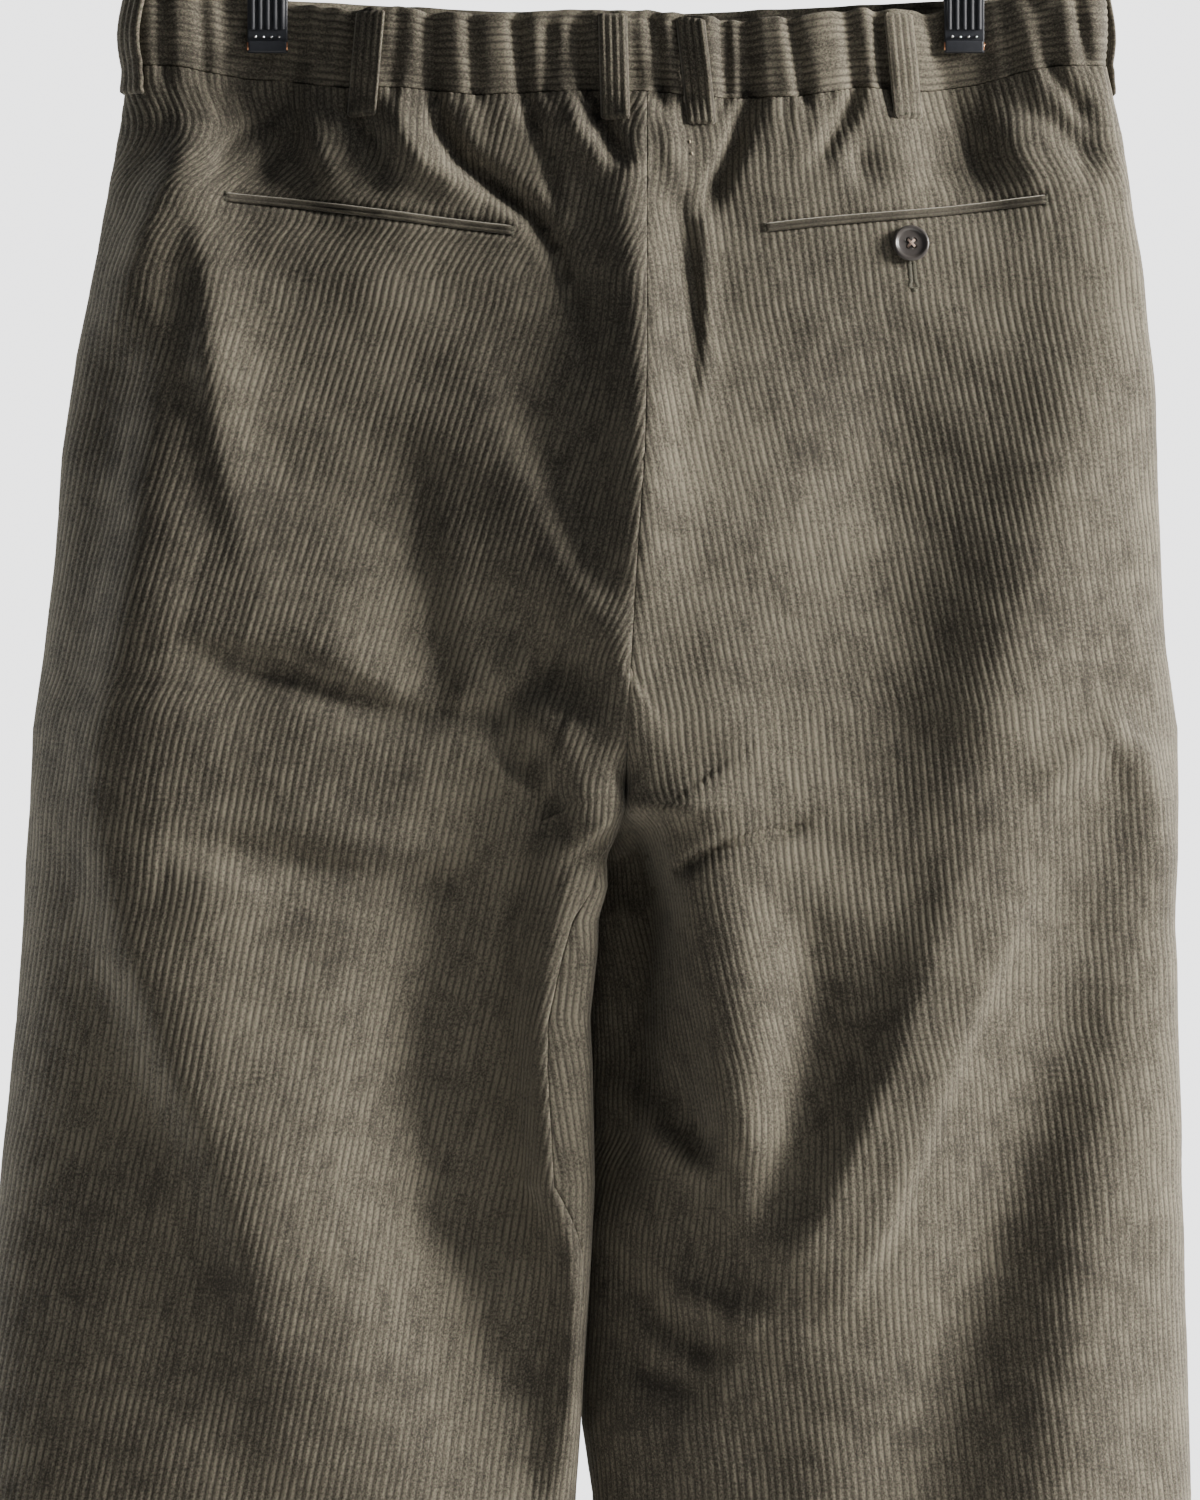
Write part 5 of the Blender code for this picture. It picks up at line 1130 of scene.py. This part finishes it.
def stitched(name, trees, spots, finish, radius, length, sink=0.0):
    """Stitches at (x, drop, heading x, heading down) on the back of the cloth."""
    points, headings = [], []
    for x, drop, hx, hd in spots:
        ends = []
        for t in (-0.5, 0.5):
            end = (x + hx * t * length, 0, BAND_TOP_Z - drop - hd * t * length)
            height = height_over(trees, end, (0, -1, 0))
            if height is not None:
                ends.append(Vector((end[0], -height, end[2])))
        if len(ends) < 2:
            continue
        points.append(((ends[0] + ends[1]) / 2 - Vector((0, radius * 0.6 - sink, 0))) * MM)
        headings.append((ends[1] - ends[0]).normalized())
    mesh = bpy.data.meshes.new(name)
    mesh.from_pydata(points, [], [])
    store = mesh.attributes.new("heading", "FLOAT_VECTOR", "POINT")
    store.data.foreach_set("vector", [c for h in headings for c in h])
    sizes = {"Thread radius": radius * MM, "Stitch length": length * MM}
    sizes.update({"Unevenness": UNEVENNESS, "Seed": len(name)})
    made = stitches_in(finish).grow(linked(name, mesh), sizes)
    made.data.shade_smooth()
    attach(made, "root")


worked = []
for step in np.linspace(0, 1, 19):
    drop = HOLE_TOP + (HOLE_FOOT - HOLE_TOP) * step
    flare = 0.55 * ease((step - 0.72) / 0.2) * (1 - ease((step - 0.93) / 0.07))
    for way in (-1, 1):
        worked.append((HOLE_X + HOLE_LEAN * step + way * (1.0 + flare), drop, 0.96 * way, 0.28))
for way in (-0.5, 0, 0.5):
    worked.append((HOLE_X + HOLE_LEAN + way, HOLE_FOOT + 0.6, 0.2 * way, 1.0))
stitched("buttonhole", BACK_RIGHT, worked, THREAD_OLIVE, 0.3, 1.9)

tacks = []
for side, mouth in POCKET_MOUTHS.items():
    inwards = 0.5 if side == "left" else 0.4
    for (x, drop), way in ((mouth[0], 1), (mouth[-1], -1)):
        for step in np.linspace(0, 1, 8):
            tacks.append((x + way * inwards, drop - 0.2 + step * (JET_HEIGHT + 0.4), 1.0, 0.15))
BACKS = surface_of([PANELS["back", "left"], PANELS["back", "right"], *JETS])
stitched("pocket_tacks", BACKS, tacks, THREAD_OLIVE, 0.22, 1.7, 0.1)

feet = []
for x, lean in BACK_LOOPS:
    for step in np.linspace(-0.42, 0.42, 17):
        feet.append((x + lean / 2 + step * LOOP_WIDTH, seam_at(x, "back") + LOOP_FOOT - 2.0, 0.25, 1.0))
stitched("loop_tacks", surface_of(LOOPS[:4]), feet, THREAD_OLIVE, 0.2, 1.6, 0.15)

cut_ends = [(31.1, 60.8, 0.3, 1.0), (32.0, 65.8, 0.45, 1.0)]
stitched("thread_ends", BACKS, cut_ends, THREAD_PALE, 0.42, 1.3)
band_and_back = surface_of([BAND_BACK, PANELS["back", "right"]])
stitched("loose_thread", band_and_back, [(160.6, 33.2, 0.9, -0.42)], THREAD_PALE, 0.28, 3.6)

# ======================================================================================
# The hanger: a steel hook turned from one wire, a steel bar through a moulded boss, and two
# sprung clips of black plastic that pinch the band. Each jaw is ribbed, with nickel pins and
# a copper spring.
# ======================================================================================
HOOK_RADIUS = 20.0
HOOK_WIRE = 3.6
HOOK_FOOT_Z = -80.0
HOOK_PULL, FOOT_PULL = 13, 12  # handles of the curve from the hook down to its foot
BAR_Z = -88.0
BAR_RADIUS = 2.5
BAR_HALF = 172.0
# radius and height
BOSS_PROFILE = [
    (0, -12), (4.2, -12), (5.2, -11.5), (5.5, -10.6), (5.5, 10.4), (5.2, 11.4), (4.4, 12), (0, 12),
]
JAW_SKIN = 0.9  # the ribs and the lip stand this far out from a jaw
JAW_ROUND, LIP_ROUND, BLOCK_ROUND = 0.7, 0.8, 1.4
LIP_HEIGHT = 5.2
RIB_COUNT = 5
RIB_RADIUS = 1.15
PIN_RADIUS = 0.55
PIN_RISE = 6.9  # over a jaw's lower edge
SPRING_RADIUS = 0.45
steel = Finish("polished steel", (0.62, 0.62, 0.63), Metallic=1.0, Roughness=0.24)
plastic = Finish("black plastic", Roughness=0.42)
scuff = plastic.noise(plastic.place(), 420.0, 3.0, 0.6)
plastic.give("Base Color", plastic.mix(scuff, (0.026, 0.028, 0.034), (0.05, 0.053, 0.062)))
nickel = Finish("nickel pin", (0.85, 0.85, 0.87), Metallic=1.0, Roughness=0.12)
copper = Finish("copper spring", (0.75, 0.36, 0.2), Metallic=1.0, Roughness=0.3)


def wire(name, points, radius, sides=14):
    """A round wire along a path of points, its ends closed."""
    verts, faces = [], []
    around = [2 * math.pi * k / sides for k in range(sides)]
    for i, point in enumerate(points):
        along = (points[min(i + 1, len(points) - 1)] - points[max(i - 1, 0)]).normalized()
        side = along.cross(Vector((0, 1, 0))).normalized()
        up = side.cross(along)
        verts += [(point + (side * math.cos(a) + up * math.sin(a)) * radius) * MM for a in around]
    last = (len(points) - 1) * sides
    for low in range(0, last, sides):
        for k in range(sides):
            a, b = low + k, low + (k + 1) % sides
            faces.append((a, b, b + sides, a + sides))
    faces += [tuple(range(sides))[::-1], tuple(range(last, last + sides))]
    mesh = bpy.data.meshes.new(name)
    mesh.from_pydata(verts, [], faces)
    work = bmesh.new()
    work.from_mesh(mesh)
    bmesh.ops.recalc_face_normals(work, faces=work.faces)
    work.to_mesh(mesh)
    work.free()
    mesh.shade_smooth()
    return linked(name, mesh)


middle = HOOK_RADIUS + HOOK_WIRE / 2
arc = [math.radians(a) for a in np.arange(205, -46, -5)]
path = [Vector((middle * math.cos(a), 0, -HOOK_RADIUS + middle * math.sin(a))) for a in arc]
start, foot = path[-1], Vector((0, 0, HOOK_FOOT_Z + 22))
slant = math.radians(45)
first_aim = start + Vector((-math.sin(slant), 0, -math.cos(slant))) * HOOK_PULL
last_aim = foot + Vector((0, 0, FOOT_PULL))
for step in np.linspace(0, 1, 17)[1:]:
    point = start * (1 - step) ** 3 + first_aim * 3 * step * (1 - step) ** 2
    path.append(point + last_aim * 3 * step**2 * (1 - step) + foot * step**3)
path.append(Vector((0, 0, HOOK_FOOT_Z)))
placed(wire("hook", path, HOOK_WIRE / 2), "hanger_hook", steel)
path = [Vector((x, 0, BAR_Z)) for x in np.linspace(-BAR_HALF, BAR_HALF, 9)]
placed(wire("bar", path, BAR_RADIUS, 24), "hanger_bar", steel)
boss = turned("boss", BOSS_PROFILE, 40)
boss.data.transform(Matrix.Translation(Vector((0, 0, BAR_Z + 3)) * MM))
placed(boss, "hanger_boss", plastic)


def block(name, low, high, round_off):
    """A moulded block with its edges rounded."""
    work = bmesh.new()
    bmesh.ops.create_cube(work, size=1)
    size = [(h - l) * MM for l, h in zip(low, high)]
    bmesh.ops.scale(work, vec=size, verts=work.verts)
    bmesh.ops.translate(work, vec=[(l + h) / 2 * MM for l, h in zip(low, high)], verts=work.verts)
    edges = list(work.edges)
    bmesh.ops.bevel(work, geom=edges, offset=round_off * MM, segments=3, profile=0.6, affect="EDGES")
    return linked(name, mesh_from(work, name))


def ribs(name, spacing, length, start):
    """Half-round ribs side by side along X, each standing along Z."""
    sizes = {"Count": 5, "Spacing": 0.003, "Rib radius": 0.0012, "Rib length": 0.03}
    moulding = Pattern("ribs", sizes)
    step = moulding.node("ShaderNodeCombineXYZ", None, {0: moulding.given("Spacing")})
    row = moulding.node("GeometryNodeMeshLine", None, {"Count": moulding.given("Count"), "Offset": step})
    radius, depth = moulding.given("Rib radius"), moulding.given("Rib length")
    round_bar = {"Vertices": 14, "Radius": radius, "Depth": depth}
    rib = moulding.node("GeometryNodeMeshCylinder", None, round_bar, "Mesh")
    moulding.lay({"Points": row, "Instance": rib}, plastic)
    sizes = {"Count": RIB_COUNT, "Spacing": spacing * MM, "Rib radius": RIB_RADIUS * MM}
    sizes["Rib length"] = length * MM
    made = moulding.grow(linked(name, bpy.data.meshes.new(name)), sizes)
    made.data.transform(Matrix.Translation(Vector(start) * MM))
    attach(made, "root")


def clip_jaw(side, face):
    name, node, way = f"{side}_{face}_jaw", f"clip_{side}_{face}_jaw", FACES[face]
    low, high = (Vector(corner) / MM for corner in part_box(node))
    outer, inner = (high.y, low.y) if way > 0 else (low.y, high.y)
    skin = outer - way * JAW_SKIN
    jaw_low = (low.x, min(inner, skin), low.z)
    jaw_high = (high.x, max(inner, skin), high.z)
    placed(block(name, jaw_low, jaw_high, JAW_ROUND), node, plastic)
    wide, tall = high.x - low.x, high.z - low.z
    rib_start = (low.x + wide * 0.13, skin, (low.z + high.z) / 2 + 4)
    ribs(f"{name}_ribs", wide / 5.4, tall - 12, rib_start)
    lip_low = (low.x + 0.3, min(skin, outer) - 0.1, low.z + 0.2)
    lip_high = (high.x - 0.3, max(skin, outer) + 0.1, low.z + LIP_HEIGHT)
    placed(block(f"{name}_lip", lip_low, lip_high, LIP_ROUND), None, plastic)
    pins, z = [], low.z + PIN_RISE
    for k in range(4):
        x = low.x + wide * (0.2 + 0.2 * k)
        pins.append(bar_of((x, skin - way * 0.3, z), (x, outer + way * 0.15, z), PIN_RADIUS, 12))
    placed(joined(f"{name}_pins", pins), None, nickel)
    springs, y = [], outer - way * 0.6
    for x in (low.x + 0.3, high.x - 0.3):
        springs.append(bar_of((x, y, low.z + 1.2), (x, y, low.z + 4.6), SPRING_RADIUS, 10))
    placed(joined(f"{name}_spring", springs), None, copper)


for side in SIDES:
    for face in FACES:
        clip_jaw(side, face)
    low, high = (Vector(corner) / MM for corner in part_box(f"clip_{side}_block"))
    clip = block(f"{side}_clip_block", low, high, BLOCK_ROUND)
    placed(clip, f"clip_{side}_block", plastic)

# ======================================================================================
# The room: a pale floor under the hem, pale air, and soft studio light from the right.
# ======================================================================================
PX = 0.42  # mm to a pixel of the 1200 x 1500 frame, at the cloth
VIEW_X, VIEW_Z = (600 - 616) * PX, -120 - 750 * PX
VIEW_Y = -4200.0
CLOTH_Y = -40.0
FLOOR_Z = -1.165
# Colour and strength of the air, as it lights the cloth and as the camera sees it
AIR = [((0.88, 0.92, 1.0), 0.09), ((0.9, 0.9, 0.91), 3.3)]
bpy.ops.mesh.primitive_plane_add(size=2.6, location=(0, 0, FLOOR_Z))
floor = bpy.context.object
floor.name = "floor"
floor.data.materials.append(Finish("pale floor", (0.78, 0.77, 0.75), Roughness=0.8).material)

world = bpy.data.worlds.new("studio")
bpy.context.scene.world = world
world.use_nodes = True
nodes, link = world.node_tree.nodes, world.node_tree.links.new
nodes.remove(nodes["Background"])
either = nodes.new("ShaderNodeMixShader")
link(nodes.new("ShaderNodeLightPath").outputs["Is Camera Ray"], either.inputs[0])
for number, (colour, strength) in enumerate(AIR, 1):
    air = nodes.new("ShaderNodeBackground")
    air.inputs["Color"].default_value = (*colour, 1)
    air.inputs["Strength"].default_value = strength
    link(air.outputs[0], either.inputs[number])
link(either.outputs[0], nodes["World Output"].inputs["Surface"])


def lamp(name, place, target, size, power, colour):
    data = bpy.data.lights.new(name, "AREA")
    data.shape, data.size, data.size_y = "ELLIPSE", *size
    data.energy, data.color = power, colour
    made = linked(name, data)
    made.location = place
    made.rotation_euler = (Vector(target) - Vector(place)).to_track_quat("-Z", "Y").to_euler()


lamp("key from the right", (3.0, -0.72, 0.65), (0, 0, -0.5), (1.05, 1.3), 286, (1.0, 0.97, 0.92))
lamp("key of the front side", (2.6, 1.9, 0.8), (0, 0, -0.6), (0.9, 1.4), 115, (1.0, 0.98, 0.95))
lamp("bounce from behind", (-2.4, 0.75, -0.7), (-0.2, 0, -0.75), (0.8, 1.6), 45, (0.96, 0.98, 1.0))
lamp("fill from above", (1.8, -1.6, 1.0), (0, 0, -0.5), (1.2, 1.2), 6, (0.95, 0.97, 1.0))

camera = bpy.data.cameras.new("view")
camera.sensor_width = 36
camera.sensor_fit = "AUTO"
camera.lens = camera.sensor_width * (CLOTH_Y - VIEW_Y) / (1500 * PX)
view = linked("view", camera)
view.location = (VIEW_X * MM, VIEW_Y * MM, VIEW_Z * MM)
view.rotation_euler = (math.pi / 2, 0, 0)
bpy.context.scene.camera = view
